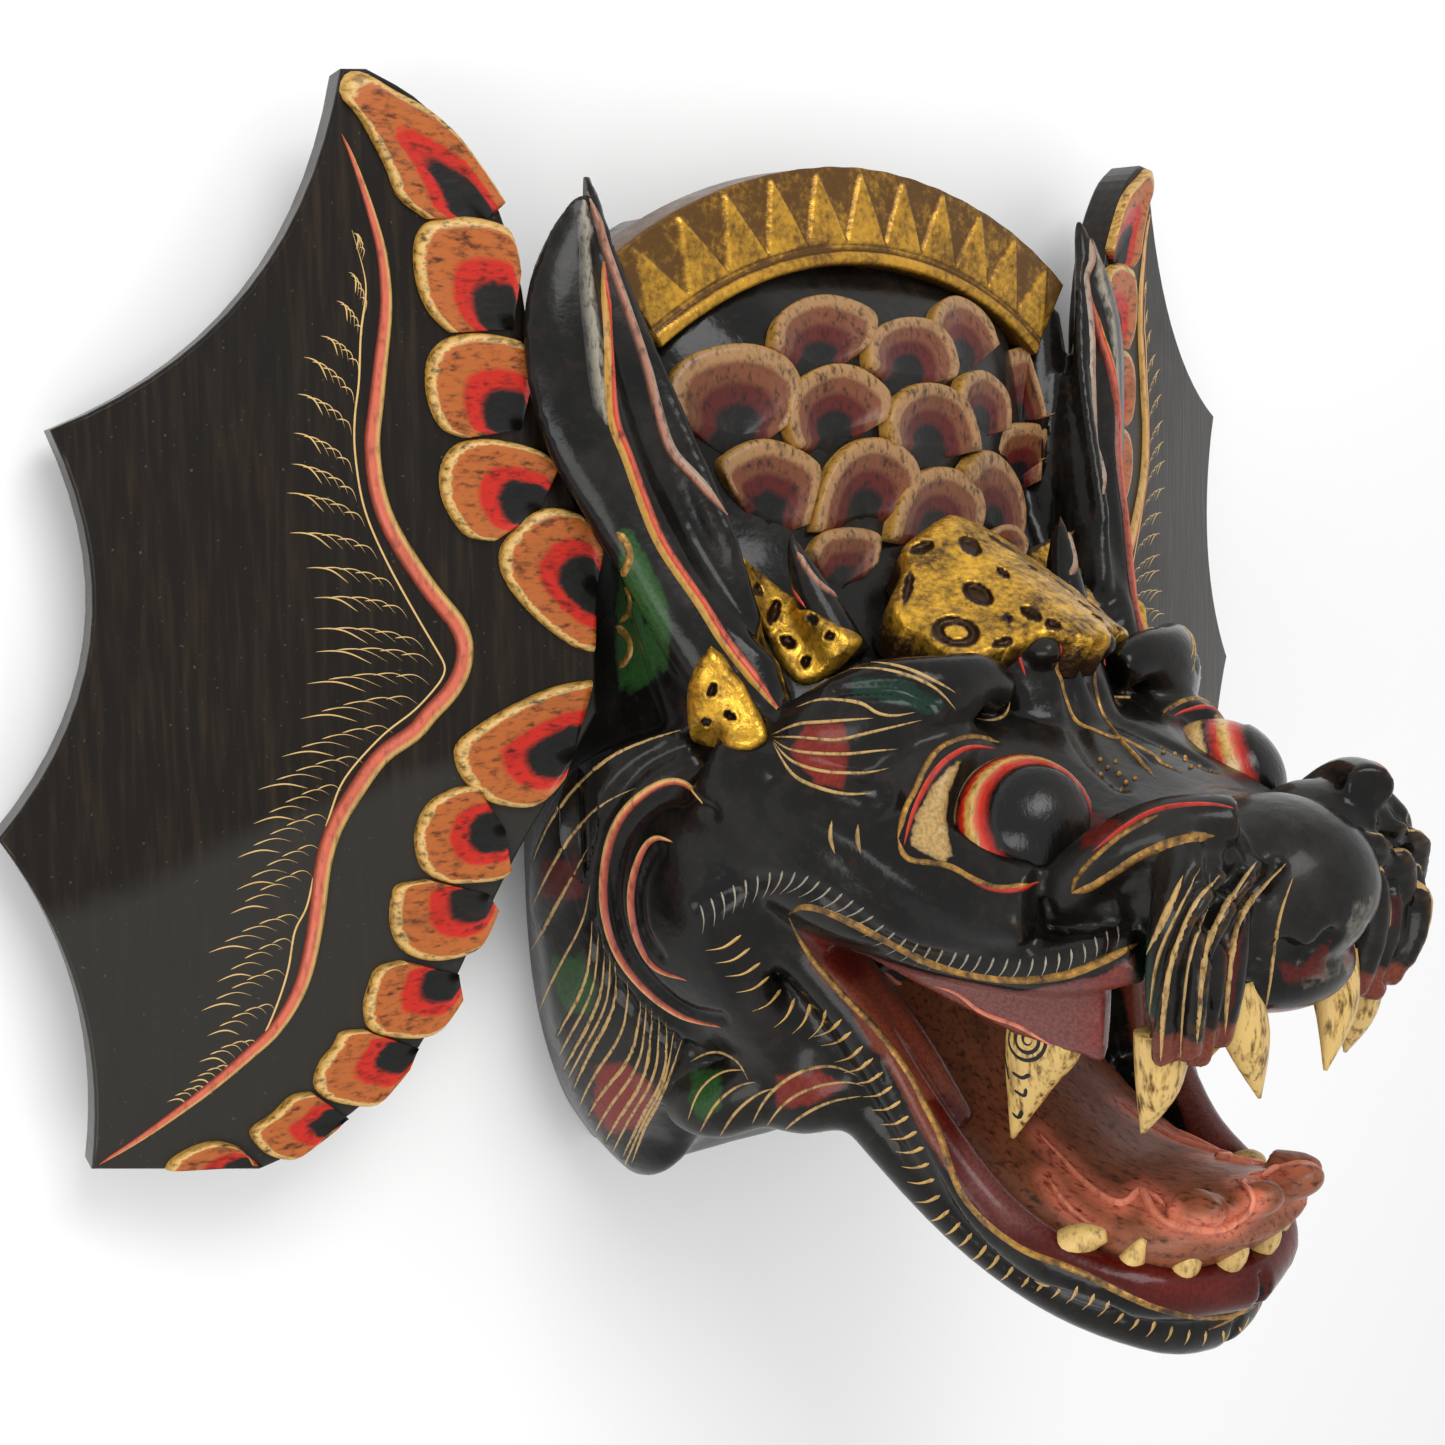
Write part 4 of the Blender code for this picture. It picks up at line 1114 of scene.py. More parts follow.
class Sculptor:
    """Eases, carves and paints the voxel mesh of the head."""

    mane: tuple[tuple[Pixel, ...], ...] = (
        ((684, 729), (622, 750), (576, 787), (544, 833), (528, 879)),
        ((588, 847), (571, 879), (530, 953)),
        ((592, 921), (585, 981), (553, 1045), (539, 1091)),
        ((604, 944), (599, 999), (567, 1063), (544, 1100)),
        ((615, 962), (613, 1008), (585, 1063), (562, 1119)),
        ((641, 999), (631, 1054), (594, 1105), (576, 1151)),
        ((652, 1008), (645, 1073), (613, 1128), (594, 1165)),
        ((666, 1022), (664, 1073), (641, 1119), (617, 1169)),
        ((682, 1040), (664, 1091), (645, 1128), (631, 1165)),
    )
    cuts: tuple[Cut, ...] = (
        # hollow of the ear between its rims
        Cut(((604, 250), (628, 360), (655, 448), (684, 512), (712, 560), (742, 606), (772, 640)), -4.0, 9.0),
        # cheek bone over the ticks, and the hollow under it
        Cut(((790, 800), (850, 835), (900, 880), (960, 915), (1030, 925), (1090, 905)), 1.2, 9.0),
        Cut(((700, 905), (760, 880), (820, 893), (884, 938), (950, 962), (1036, 966), (1100, 946)), -1.3,
            5.0),
        # hollow between the brow and the cheek
        Cut(((778, 775), (815, 800), (862, 812), (890, 800)), -2.0, 7.0),
        Cut(((836, 690), (868, 688), (905, 690), (935, 704)), -2.6, 4.0),
        # grooves between the folds of the moustache
        Cut(((1200, 880), (1180, 916), (1160, 962), (1150, 1017), (1146, 1060)), -2.8, 4.2),
        Cut(((1238, 872), (1209, 912), (1190, 955), (1182, 1010), (1178, 1060)), -3.2, 4.2),
        Cut(((1275, 868), (1246, 905), (1222, 953), (1214, 1000), (1210, 1045)), -3.0, 4.2),
        # rolls of the moustache between the grooves
        Cut(((1218, 880), (1192, 912), (1172, 960), (1163, 1014), (1160, 1070)), 2.6, 4.6),
        Cut(((1256, 868), (1228, 906), (1206, 953), (1198, 1004), (1194, 1050)), 2.6, 4.6),
        # groove round the cheek's curl
        Cut(((712, 812), (684, 798), (656, 804), (634, 826), (620, 858), (617, 905), (630, 950), (656, 985),
            (688, 1010), (722, 1018)), -1.6, 4.0),
        Cut(((660, 850), (648, 868), (641, 896), (645, 930), (660, 955)), -1.2, 3.6),
        # crease between mane and cheek
        Cut(((700, 740), (640, 770), (600, 830), (588, 905), (604, 965), (645, 1020), (690, 1050)), -2.2,
            5.0),
        # hollow under the jaw's roll
        Cut(((880, 1060), (920, 1150), (965, 1225), (1030, 1280), (1120, 1315)), -1.6, 5.0),
        # nostril and the crease over the nose
        Cut(((1284, 948), (1300, 956), (1318, 950), (1330, 938)), -4.0, 5.0),
        # bridge of the nose and the crease beside it
        Cut(((1095, 650), (1096, 680), (1104, 712), (1120, 738), (1140, 760)), 1.4, 4.0),
        Cut(((1070, 690), (1078, 730), (1096, 762), (1120, 785)), -1.6, 6.0),
    )
    patches: tuple[Patch, ...] = (
        Patch(Paint.GREEN, ((620, 527), (634, 530), (650, 560), (668, 600), (672, 630), (668, 670),
            (640, 690), (618, 690), (614, 640), (616, 600)), 0.85),
        Patch(Paint.FADED_RED, ((805, 724), (847, 722), (850, 750), (845, 790), (815, 785), (788, 752)), 0.8,
            6.0),
        Patch(Paint.DEEP_GREEN, ((850, 676), (905, 678), (950, 704), (930, 716), (880, 700), (850, 696)), 0.8,
            6.0),
        Patch(Paint.DARK_RED, ((540, 857), (572, 857), (590, 900), (560, 902), (536, 900)), 0.75),
        Patch(Paint.GREEN, ((545, 953), (580, 950), (600, 990), (590, 1017), (560, 1012)), 0.7),
        Patch(Paint.FADED_RED, ((596, 1063), (625, 1060), (655, 1085), (650, 1125), (610, 1137), (590, 1110)),
            0.8),
        Patch(Paint.GREEN, ((692, 1068), (722, 1068), (724, 1110), (700, 1124), (684, 1100)), 0.75),
        Patch(Paint.FADED_RED, ((775, 1075), (820, 1068), (850, 1085), (820, 1105), (775, 1112)), 0.75),
        Patch(Paint.OX_BLOOD, ((925, 1100), (939, 1133), (948, 1160), (958, 1188), (974, 1211), (999, 1234),
            (1027, 1252), (1054, 1262), (1087, 1275), (1119, 1292), (1156, 1308), (1193, 1317), (1225, 1317),
            (1252, 1308), (1271, 1289), (1286, 1250), (1284, 1205), (1230, 1260), (1160, 1262), (1100, 1236),
            (1040, 1200), (985, 1140), (950, 1095)), 1.0, 3.0),
        Patch(Paint.FADED_RED, ((870, 1000), (905, 1020), (945, 1085), (960, 1120), (940, 1120), (905, 1060)),
            0.12, 14.0),
        Patch(Paint.MAUVE, ((960, 1130), (1000, 1150), (1050, 1200), (1050, 1235), (1005, 1225), (970, 1185)),
            0.8, 12.0),
        Patch(Paint.FADED_RED, ((1120, 1262), (1200, 1280), (1240, 1275), (1230, 1300), (1160, 1295)), 0.25,
            12.0),
        # painted sheen: pale grey over the side of the nose, where the lacquer catches the light
        Patch(Paint.GREY_TICK, ((1352, 900), (1392, 880), (1388, 930), (1352, 965), (1318, 990), (1296, 992),
            (1336, 950)), 0.45, 6.0),
        Patch(Paint.MAUVE, ((852, 950), (930, 975), (1017, 992), (1100, 976), (1135, 956), (1135, 1045),
            (1100, 1066), (1045, 1042), (974, 1006)), 1.0, 4.0),
        Patch(Paint.FADED_RED, ((1095, 975), (1135, 955), (1135, 1045), (1085, 1050)), 0.5, 14.0),
        Patch(Paint.DARK_RED, ((795, 925), (860, 955), (870, 975), (850, 985), (810, 955)), 0.9, 6.0),
        Patch(Paint.DARK_RED, ((1085, 808), (1125, 822), (1110, 842), (1080, 850)), 0.9, 5.0),
        Patch(Paint.LINE_CREAM, ((908, 842), (918, 812), (932, 786), (950, 766), (962, 760), (950, 790),
            (946, 820), (952, 852), (946, 862), (924, 854)), 1.0, 3.0),
        Patch(Paint.DEEP_GREEN, ((1130, 960), (1150, 930), (1160, 1000), (1150, 1070), (1132, 1060)), 0.7,
            8.0),
        Patch(Paint.DARK_RED, ((1225, 945), (1245, 920), (1236, 1000), (1222, 1050)), 0.8, 6.0),
        Patch(Paint.DARK_RED, ((1275, 960), (1300, 966), (1335, 930), (1325, 975), (1285, 985)), 0.85, 5.0),
        # painted highlight and wear: soft grey over the top of the nose
        Patch(Paint.GREY_BLACK, ((1255, 800), (1300, 790), (1345, 805), (1340, 830), (1290, 835)), 0.6, 12.0),
        Patch(Paint.GREY_BLACK, ((1040, 700), (1080, 690), (1098, 740), (1080, 770), (1050, 745)), 0.5, 12.0),
    )
    inside_mouth: tuple[Pixel, ...] = (
        (110, -64), (124, -60), (143, -66), (176, -76), (209, -72), (236, -66), (270, -80), (272, -150),
        (238, -160), (203, -154), (183, -150), (160, -122), (140, -84), (124, -68))

    def __init__(self, obj: bpy.types.Object) -> None:
        """Reads an object's mesh into arrays.

        Args:
            obj: The carving.
        """
        self.obj = obj
        self.mesh = obj.data
        self.places = np.empty(len(self.mesh.vertices) * 3)
        self.mesh.vertices.foreach_get("co", self.places)
        self.places = self.places.reshape(-1, 3)

    def store(self) -> None:
        """Writes the places back to the mesh."""
        self.mesh.vertices.foreach_set("co", self.places.ravel())
        self.mesh.update()

    def ease(self, rounds: int = 34) -> None:
        """Melts the forms of cheeks, jaw sides and mane into one another."""
        edges = np.empty(len(self.mesh.edges) * 2, dtype=np.int64)
        self.mesh.edges.foreach_get("vertices", edges)
        a, b = edges.reshape(-1, 2).T
        count = len(self.places)
        degree = np.bincount(np.concatenate([a, b]), minlength=count)[:, None]
        x, y, z = np.abs(self.places[:, 0]), self.places[:, 1], self.places[:, 2]
        side = smooth_step(0.066, 0.078, x) * smooth_step(0.004, -0.012, y) * smooth_step(0.150, 0.128, z)
        low = smooth_step(-0.06, -0.09, y) * smooth_step(0.10, 0.08, z) * smooth_step(0.02, 0.04, x)
        ear = smooth_step(0.074, 0.080, x) * smooth_step(0.004, 0.014, y) * smooth_step(0.062, 0.050, y)
        share = (0.5 * np.clip(side + low + 0.5 * ear, 0.0, 1.0) * smooth_step(0.001, 0.004, z))[:, None]
        for _ in range(rounds):
            total = np.stack([np.bincount(a, row[b], count) + np.bincount(b, row[a], count)
                              for row in self.places.T], axis=1)
            self.places += share * (total / degree - self.places)
        self.store()

    def carve(self) -> None:
        """Pushes ridges and grooves into the left half along their picture lines."""
        surface = Surface(self.obj)
        tree = kdtree.KDTree(len(self.places))
        for i, place in enumerate(self.places):
            tree.insert(place, i)
        tree.balance()
        normals = np.empty(len(self.places) * 3)
        self.mesh.vertex_normals.foreach_get("vector", normals)
        normals = normals.reshape(-1, 3)
        shift = np.zeros(len(self.places))
        strands = [Cut(line, 0.9, 2.2) for line in self.mane]
        for cut in (*self.cuts, *strands):
            reach = cut.reach * MM
            near: dict[int, float] = {}
            for place, _ in surface.path(cut.line, 1.2 * MM):
                for _, index, gap in tree.find_range(place, reach):
                    near[index] = min(near.get(index, reach), gap)
            for index, gap in near.items():
                shift[index] += cut.height * MM * (0.5 + 0.5 * math.cos(math.pi * gap / reach))
        self.places += normals * shift[:, None]
        self.store()

    @staticmethod
    def inside(points: np.ndarray, rim: Sequence[Pixel]) -> np.ndarray:
        """Signed distance of points to a closed line, positive inside."""
        x, y = points.T
        crossings = np.zeros(len(points), dtype=np.int64)
        gap = np.full(len(points), 1e9)
        for (ax, ay), (bx, by) in zip(rim, (*rim[1:], rim[0])):
            crosses = (ay > y) != (by > y)
            at = ax + (y - ay) * (bx - ax) / ((by - ay) or 1e-9)
            crossings += crosses & (x < at)
            dx, dy = bx - ax, by - ay
            t = np.clip(((x - ax) * dx + (y - ay) * dy) / max(dx * dx + dy * dy, 1e-9), 0.0, 1.0)
            gap = np.minimum(gap, np.hypot(x - ax - t * dx, y - ay - t * dy))
        return np.where(crossings % 2 == 1, gap, -gap)

    def brush(self) -> None:
        """Paints the patches and the inside of the mouth as the mesh's paint attribute."""
        colours = np.zeros((len(self.places), 4))
        colours[:, :3] = Paint.BLACK.linear[:3]
        flat = self.places[:, [2, 1]] / MM
        within = self.inside(flat, self.inside_mouth) + 2.0
        half = np.abs(self.places[:, 0])
        cover = smooth_step(0.0, 4.0, within) * smooth_step(0.092, 0.084, half)
        self.blend(colours, Paint.MOUTH, cover)
        tree = Surface(self.obj).tree
        seen = VIEW.pixels(self.places)
        eye = Vector(VIEW.place)
        for patch in self.patches:
            share = smooth_step(-patch.feather, patch.feather, self.inside(seen, patch.rim)) * patch.cover
            for index in np.nonzero(share > 0.01)[0]:
                place = Vector(self.places[index])
                ray = place - eye
                hit = tree.ray_cast(eye, ray.normalized())[0]
                if hit is None or (hit - place).length > 4.0 * MM:
                    share[index] = 0.0
            self.blend(colours, patch.paint, share)
        layer = self.mesh.attributes.new("paint", "FLOAT_COLOR", "POINT")
        layer.data.foreach_set("color", colours.ravel())

    @staticmethod
    def blend(colours: np.ndarray, paint: Paint, share: np.ndarray) -> None:
        """Lays one paint over the colours, and raises their cover."""
        share = share[:, None]
        colours[:, :3] += share * (np.array(paint.linear[:3]) - colours[:, :3])
        colours[:, 3:] = np.maximum(colours[:, 3:], share)


EAR_ACROSS = (41, 0, -12)


@dataclass
class HeadCarving:
    """The head: one carved block with its snout, jaws, brows, ears and mane."""

    voxel: float = 1.75 * MM
    side_height: float = 30.0
    back_taper: float = 0.84
    hollow_wall: float = 34.0
    hollow_depth: float = 66.0
    levels: tuple[tuple[float, float, float, float], ...] = (
        (166, 62, 42, 2.6), (150, 92, 60, 2.6), (126, 101, 78, 2.4), (100, 105, 87, 2.2), (75, 107, 89, 2.2),
        (52, 108, 96, 2.3), (30, 109, 114, 2.4), (8, 111, 134, 2.4), (-15, 114, 140, 2.5),
        (-40, 117, 138, 2.6), (-62, 117, 130, 2.9), (-85, 116, 121, 3.0), (-108, 113, 108, 3.0),
        (-130, 107, 90, 2.8), (-152, 97, 62, 2.6), (-171, 82, 40, 2.6))
    forms: tuple[Form, ...] = (
        # upper jaw and bridge of the nose
        Form(((0, -22, 95, 98, 44), (0, -26, 125, 88, 38), (0, -29, 152, 78, 35), (0, -37, 180, 66, 31),
            (0, -43, 208, 58, 27), (0, -45, 232, 48, 26), (0, -48, 250, 34, 24)), power=2.7, paired=False),
        Form(((0, 30, 140, 34, 14), (0, 10, 152, 26, 14), (0, -8, 164, 24, 12), (0, -24, 184, 26, 12),
            (0, -28, 214, 30, 12)), power=2.4, paired=False),
        # wings of the nostrils and the bones over the cheeks
        Form(((58, -40, 204, 8, 7), (56, -26, 220, 9, 8), (48, -16, 236, 9, 8), (36, -14, 250, 8, 7)),
            (0, 0, 1)),
        Form(((104, -14, 100, 18, 12), (91, -32, 136, 26, 12), (76, -42, 168, 22, 11),
            (66, -44, 202, 13, 10)), (0, 1, 0)),
        # overhanging upper lip and the gum under it
        Form(((88, -54, 118, 8, 8), (79, -58, 143, 9, 9), (69, -62, 176, 9, 9), (62, -61, 208, 8, 9),
            (55, -54, 232, 7, 8))),
        Form(((78, -60, 136, 4, 6), (68, -68, 168, 4, 10), (60, -73, 196, 4, 14), (53, -74, 220, 4, 16))),
        # side of the jaw, membrane of the mouth's corner and throat
        Form(((106, -30, 84, 24, 11), (102, -62, 88, 26, 11), (93, -86, 96, 22, 11), (84, -104, 106, 17, 10),
            (74, -118, 118, 10, 8)), (0, 0, 1)),
        Form(((80, -62, 112, 10, 10), (68, -84, 128, 12, 12), (56, -108, 142, 10, 12), (46, -130, 156, 8, 8)),
            (1, 0, 0.3)),
        Form(((0, -84, 84, 86, 22), (0, -92, 104, 80, 22), (0, -96, 122, 66, 18)), power=3.0, paired=False),
        # lower jaw: floor, lip and the roll under it
        Form(((0, -76, 84, 78, 16), (0, -110, 122, 64, 13), (0, -142, 152, 56, 12), (0, -164, 182, 50, 12),
            (0, -175, 206, 42, 12), (0, -178, 228, 24, 12)), power=2.6, paired=False),
        Form(((90, -60, 112, 9, 10), (76, -86, 134, 9, 9), (64, -119, 154, 8, 9), (56, -147, 178, 8, 9),
            (49, -160, 204, 8, 9), (32, -166, 226, 8, 9), (0, -169, 236, 9, 9)), (1, 0, 0.3)),
        Form(((84, -88, 106, 10, 11), (66, -122, 134, 10, 11), (52, -154, 168, 10, 11),
            (40, -170, 198, 10, 12), (20, -181, 220, 10, 11), (0, -184, 225, 10, 11)), (1, 0, 0.3)),
        # brows, eye sockets and the small spikes over them
        Form(((96, -2, 112, 3, 3), (88, 2, 132, 14, 10), (76, 6, 146, 19, 11), (60, 12, 156, 15, 10),
            (44, 17, 158, 9, 8), (31, 13, 156, 8, 8)), (0, 1, 0)),
        Form(((58, -23, 138, 31, 31), (56, -24, 160, 29, 29), (54, -24, 170, 25, 25)), (0, 1, 0)),
        Form(((58, 20, 116, 9, 9), (63, 38, 108, 7, 7), (67, 52, 103, 4, 4), (69, 61, 101, 1, 1))),
        # ears: leaf and temple
        Form(((92, -4, 112, 9, 10), (103, 30, 98, 15, 10), (114, 70, 82, 19, 9), (124, 100, 74, 22, 8),
            (129, 128, 70, 19, 7), (127, 152, 67, 11, 5), (121, 172, 64, 1, 1)), EAR_ACROSS),
        Form(((128, 126, 70, 18, 5), (127, 142, 68, 14, 5), (125.5, 158, 66, 9, 4), (123.5, 166, 65, 5.5, 3),
            (121.5, 172, 64, 1, 1)), EAR_ACROSS),
        Form(((88, 4, 110, 8, 14), (92, 28, 102, 9, 13), (96, 56, 91, 8, 11), (101, 82, 82, 7, 9),
            (108, 112, 72, 5, 6)), EAR_ACROSS),
        Form(((96, 0, 96, 14, 18), (98, 40, 76, 14, 16), (102, 80, 66, 14, 12), (108, 118, 58, 13, 10),
            (112, 138, 56, 6, 6)), EAR_ACROSS),
        # rims of the ears
        Form(((95, 4, 124, 3, 3), (105, 42, 97, 3, 3), (113, 88, 80, 3, 3), (121, 136, 74, 3, 3),
            (122, 168, 66, 1, 1)), EAR_ACROSS),
        Form(((90, 44, 104, 3, 3), (94, 58, 100, 3, 4), (98, 76, 94, 3, 3), (107, 114, 79, 3, 3),
            (119, 160, 67, 1, 1)), EAR_ACROSS),
        # tufts under the cheeks
        Form(((72, -116, 114, 3, 3), (84, -122, 104, 12, 9), (92, -130, 88, 12, 10), (94, -134, 70, 6, 6)),
            (0, 1, 0.6)),
        Form(((58, -110, 142, 3, 3), (70, -116, 132, 12, 9), (78, -124, 116, 12, 10), (80, -128, 98, 6, 6)),
            (0, 1, 0.6)),
    ) + mane_locks()
    balls: tuple[Ball, ...] = (
        Ball((0, -40, 239), (33, 27, 32), False), Ball((0, -64, 240), (31, 15, 23), False),
        Ball((34, -36, 232), (22, 22, 22)), Ball((102, -50, 78), (15, 42, 42)),
        Ball((0, 22, 158), (7, 6, 10), False), Ball((14, 24, 158), (7, 6, 10)))
    folds: tuple[float, ...] = (-11.0, 0.0, 11.0)
    most_triangles: int = 186_000
    wing_rooms: tuple[tuple[Row, Row], ...] = (
        ((-0.0003, -0.25, -0.0185), (0.25, 0.25, 0.0038)),
        ((-0.0343, 0.0657, -0.0118), (0.022, 0.0963, -0.0022)),
    )

    def level_ring(self, y: float, width: float, depth: float, power: float, back: float,
                   taper: float, sides: int = 24) -> list[Vector]:
        """One level of the block: rounded in front, drawn in a little towards the back."""
        ring = []
        for i in range(sides * 2 + 1):
            angle = math.pi * i / (sides * 2)
            c, s = math.cos(angle), math.sin(angle)
            x = math.copysign(abs(c) ** (2 / power), c) * width
            z = self.side_height + abs(s) ** (2 / power) * (depth - self.side_height)
            ring.append(Vector((x, y, z)) * MM)
        ring.append(Vector((-width * taper, y, back)) * MM)
        ring.append(Vector((width * taper, y, back)) * MM)
        return ring

    def cut(self, obj: bpy.types.Object, bm: bmesh.types.BMesh) -> None:
        """Takes the body of a bmesh away from the carving."""
        tool = Maker.object_from(bm, "cut")
        step = obj.modifiers.new("cut", "BOOLEAN")
        step.operation = "DIFFERENCE"
        step.solver = "MANIFOLD"
        step.object = tool
        Maker.settle(obj)
        bpy.data.objects.remove(tool)

    @staticmethod
    def block(low: Row, high: Row, matrix: Matrix = Matrix()) -> bmesh.types.BMesh:
        """A box between two corners, in metres, moved by a matrix."""
        bm = bmesh.new()
        low, high = Vector(low), Vector(high)
        place = Matrix.Translation((low + high) / 2) @ Matrix.Diagonal((*(high - low), 1.0))
        bmesh.ops.create_cube(bm, size=1.0, matrix=matrix @ place)
        return bm

    def build(self) -> bpy.types.Object:
        """Carves the head and returns it, undressed."""
        bm = bmesh.new()
        Maker.loft(bm, [self.level_ring(*row, -8.0, self.back_taper) for row in catmull(self.levels, 60)])
        for form in (*self.forms, *self.balls):
            form.add(bm)
        for shift in self.folds:
            Form(((42 + shift * 0.5, -18, 240, 5, 7), (48 + shift, -34, 247, 5.4, 8.5),
                  (50 + shift, -58, 248, 5.6, 9),
                  (47 + shift * 0.9, -84 + abs(shift) * 0.3, 245, 4.8, 6.5))).add(bm)
        head = Maker.object_from(bm, "head_carving")
        Maker.fuse(head, self.voxel)
        Sculptor(head).ease()
        hollow = bmesh.new()
        rings = [self.level_ring(y, width - self.hollow_wall, min(depth * 0.62, self.hollow_depth), 2.6,
                                 -16.0, 1.0, 12)
                 for y, width, depth, _ in catmull(self.levels[2:-3], 30)]
        Maker.loft(hollow, rings)
        self.cut(head, hollow)
        self.cut(head, self.block((-0.4, -0.4, -0.1), (0.4, 0.4, 0.0)))
        for flip in (1.0, -1.0):
            matrix = Matrix.Diagonal((flip, 1.0, 1.0, 1.0)) @ WING.matrix()
            for low, high in self.wing_rooms:
                room = self.block(low, high, matrix)
                bmesh.ops.recalc_face_normals(room, faces=room.faces)
                self.cut(head, room)
        sculptor = Sculptor(head)
        sculptor.carve()
        sculptor.brush()
        self.thin_out(head)
        self.match_halves(head)
        return head

    def thin_out(self, obj: bpy.types.Object) -> None:
        """Brings the mesh under the most triangles that a piece may have."""
        count = sum(len(face.vertices) - 2 for face in obj.data.polygons)
        thin = obj.modifiers.new("thin", "DECIMATE")
        thin.ratio = min(1.0, self.most_triangles / count)
        Maker.settle(obj)

    @staticmethod
    def match_halves(obj: bpy.types.Object) -> None:
        """Keeps the -X half and puts its mirror image on the other side."""
        bm = bmesh.new()
        bm.from_mesh(obj.data)
        bmesh.ops.bisect_plane(bm, geom=bm.verts[:] + bm.edges[:] + bm.faces[:], plane_co=(0, 0, 0),
                               plane_no=(1, 0, 0), clear_outer=True)
        for v in bm.verts:
            if abs(v.co.x) < 1e-6:
                v.co.x = 0.0
        Maker.mirror(bm)
        bmesh.ops.remove_doubles(bm, verts=[v for v in bm.verts if abs(v.co.x) < 1e-6], dist=1e-6)
        bm.to_mesh(obj.data)
        bm.free()
        for face in obj.data.polygons:
            face.use_smooth = True


@dataclass
class Crown:
    """Gilded crown band with incised teeth and a rounded lower bead."""

    radius: float = 196.5
    band: float = 33.0
    back: float = 50.0
    front: float = 67.0
    apex: float = 182.6
    half_angle: float = math.radians(35.0)
    teeth: int = 11
    relief: float = 2.2

    def point(self, radius: float, angle: float, z: float) -> Vector:
        """A place on the arch."""
        return Vector((radius * math.sin(angle), self.apex - self.radius + radius * math.cos(angle), z)) * MM

    def height(self, share: float, along: float) -> tuple[float, float]:
        """Height over the band's level, and darkening of the gold.

        Args:
            share: Place across the band, 0 at the lower edge and 1 at the upper.
            along: Place along the band in teeth.

        Returns:
            Height in millimetres, and 0 to 1 for how dark the gold is there: patina, with painted shade in
            the ground between the teeth and beside the bead.
        """
        bead = 0.075
        if share < bead * 2.1:
            t = (share - bead * 1.05) / (bead * 1.05)
            # the bead's crest stays bright and its flanks are darkened: patina with painted shade
            return 2.6 * math.sqrt(max(1.0 - t * t, 0.0)), 0.0 if abs(t) < 0.8 else 0.8
        cell = along - math.floor(along)
        foot, top, lean = 0.23, 0.95, 0.42
        up = (share - foot) / (top - foot)
        left = lean * up + 0.03
        right = 0.97 - (0.97 - lean) * up
        inside = min(cell - left, right - cell)
        if up < 0.0:
            inside = -0.2 if up < -0.06 else -0.08 - up
        if up > 1.0:
            inside = -0.2
        lift = 1.2 * min(max(inside / 0.12 + 0.5, 0.0), 1.0)
        groove = max(0.0, 1.0 - abs(inside) / 0.06)
        # darker ground outside the teeth: patina with painted shade; the raised outlines stay bright
        return lift + 0.7 * groove, max(0.0, (0.1 if inside > 0.0 else 0.5) * (1.0 - groove))

    def build(self) -> None:
        """Makes the crown."""
        bm = bmesh.new()
        hollow = bm.verts.layers.float.new("hollow")
        along, across = self.teeth * 26, 46
        rows = []
        for i in range(along + 1):
            angle = -self.half_angle + 2 * self.half_angle * i / along
            row = []
            wobble = 0.12 * math.sin(i * 0.37) + 0.2 * math.sin(i * 0.051 + 1.0)
            edge = [(0.0, self.back), (0.0, self.front - 4.0)]
            for j in range(across + 1):
                share = j / across
                lift, deep = self.height(share, self.teeth * i / along)
                end = min(1.0, 0.3 + 8.0 * min(i, along - i) / along)
                z = self.front - self.relief * share + lift * end
                place = self.radius - self.band * (1.0 - share)
                place += wobble * share if share > 0.96 else 0.0
                edge.append((share, z, place, deep))
            edge.extend([(1.0, self.front - 5.0), (1.0, self.back)])
            for item in edge:
                place = item[2] if len(item) > 2 else self.radius - self.band * (1.0 - item[0])
                vert = bm.verts.new(self.point(place, angle, item[1]))
                vert[hollow] = item[3] if len(item) > 3 else 0.7
                row.append(vert)
            rows.append(row)
        Maker.skin(bm, rows, True)
        for row in (rows[0], rows[-1]):
            bm.faces.new(row)
        bmesh.ops.recalc_face_normals(bm, faces=bm.faces)
        finish = Gilding("crown_gold_with_painted_shade", Paint.CROWN_GOLD, Paint.OLIVE_BROWN, 0.5, 0.26, 0.8)
        Maker.dress(Maker.object_from(bm, "crown_band"), finish, Slot.HEAD)


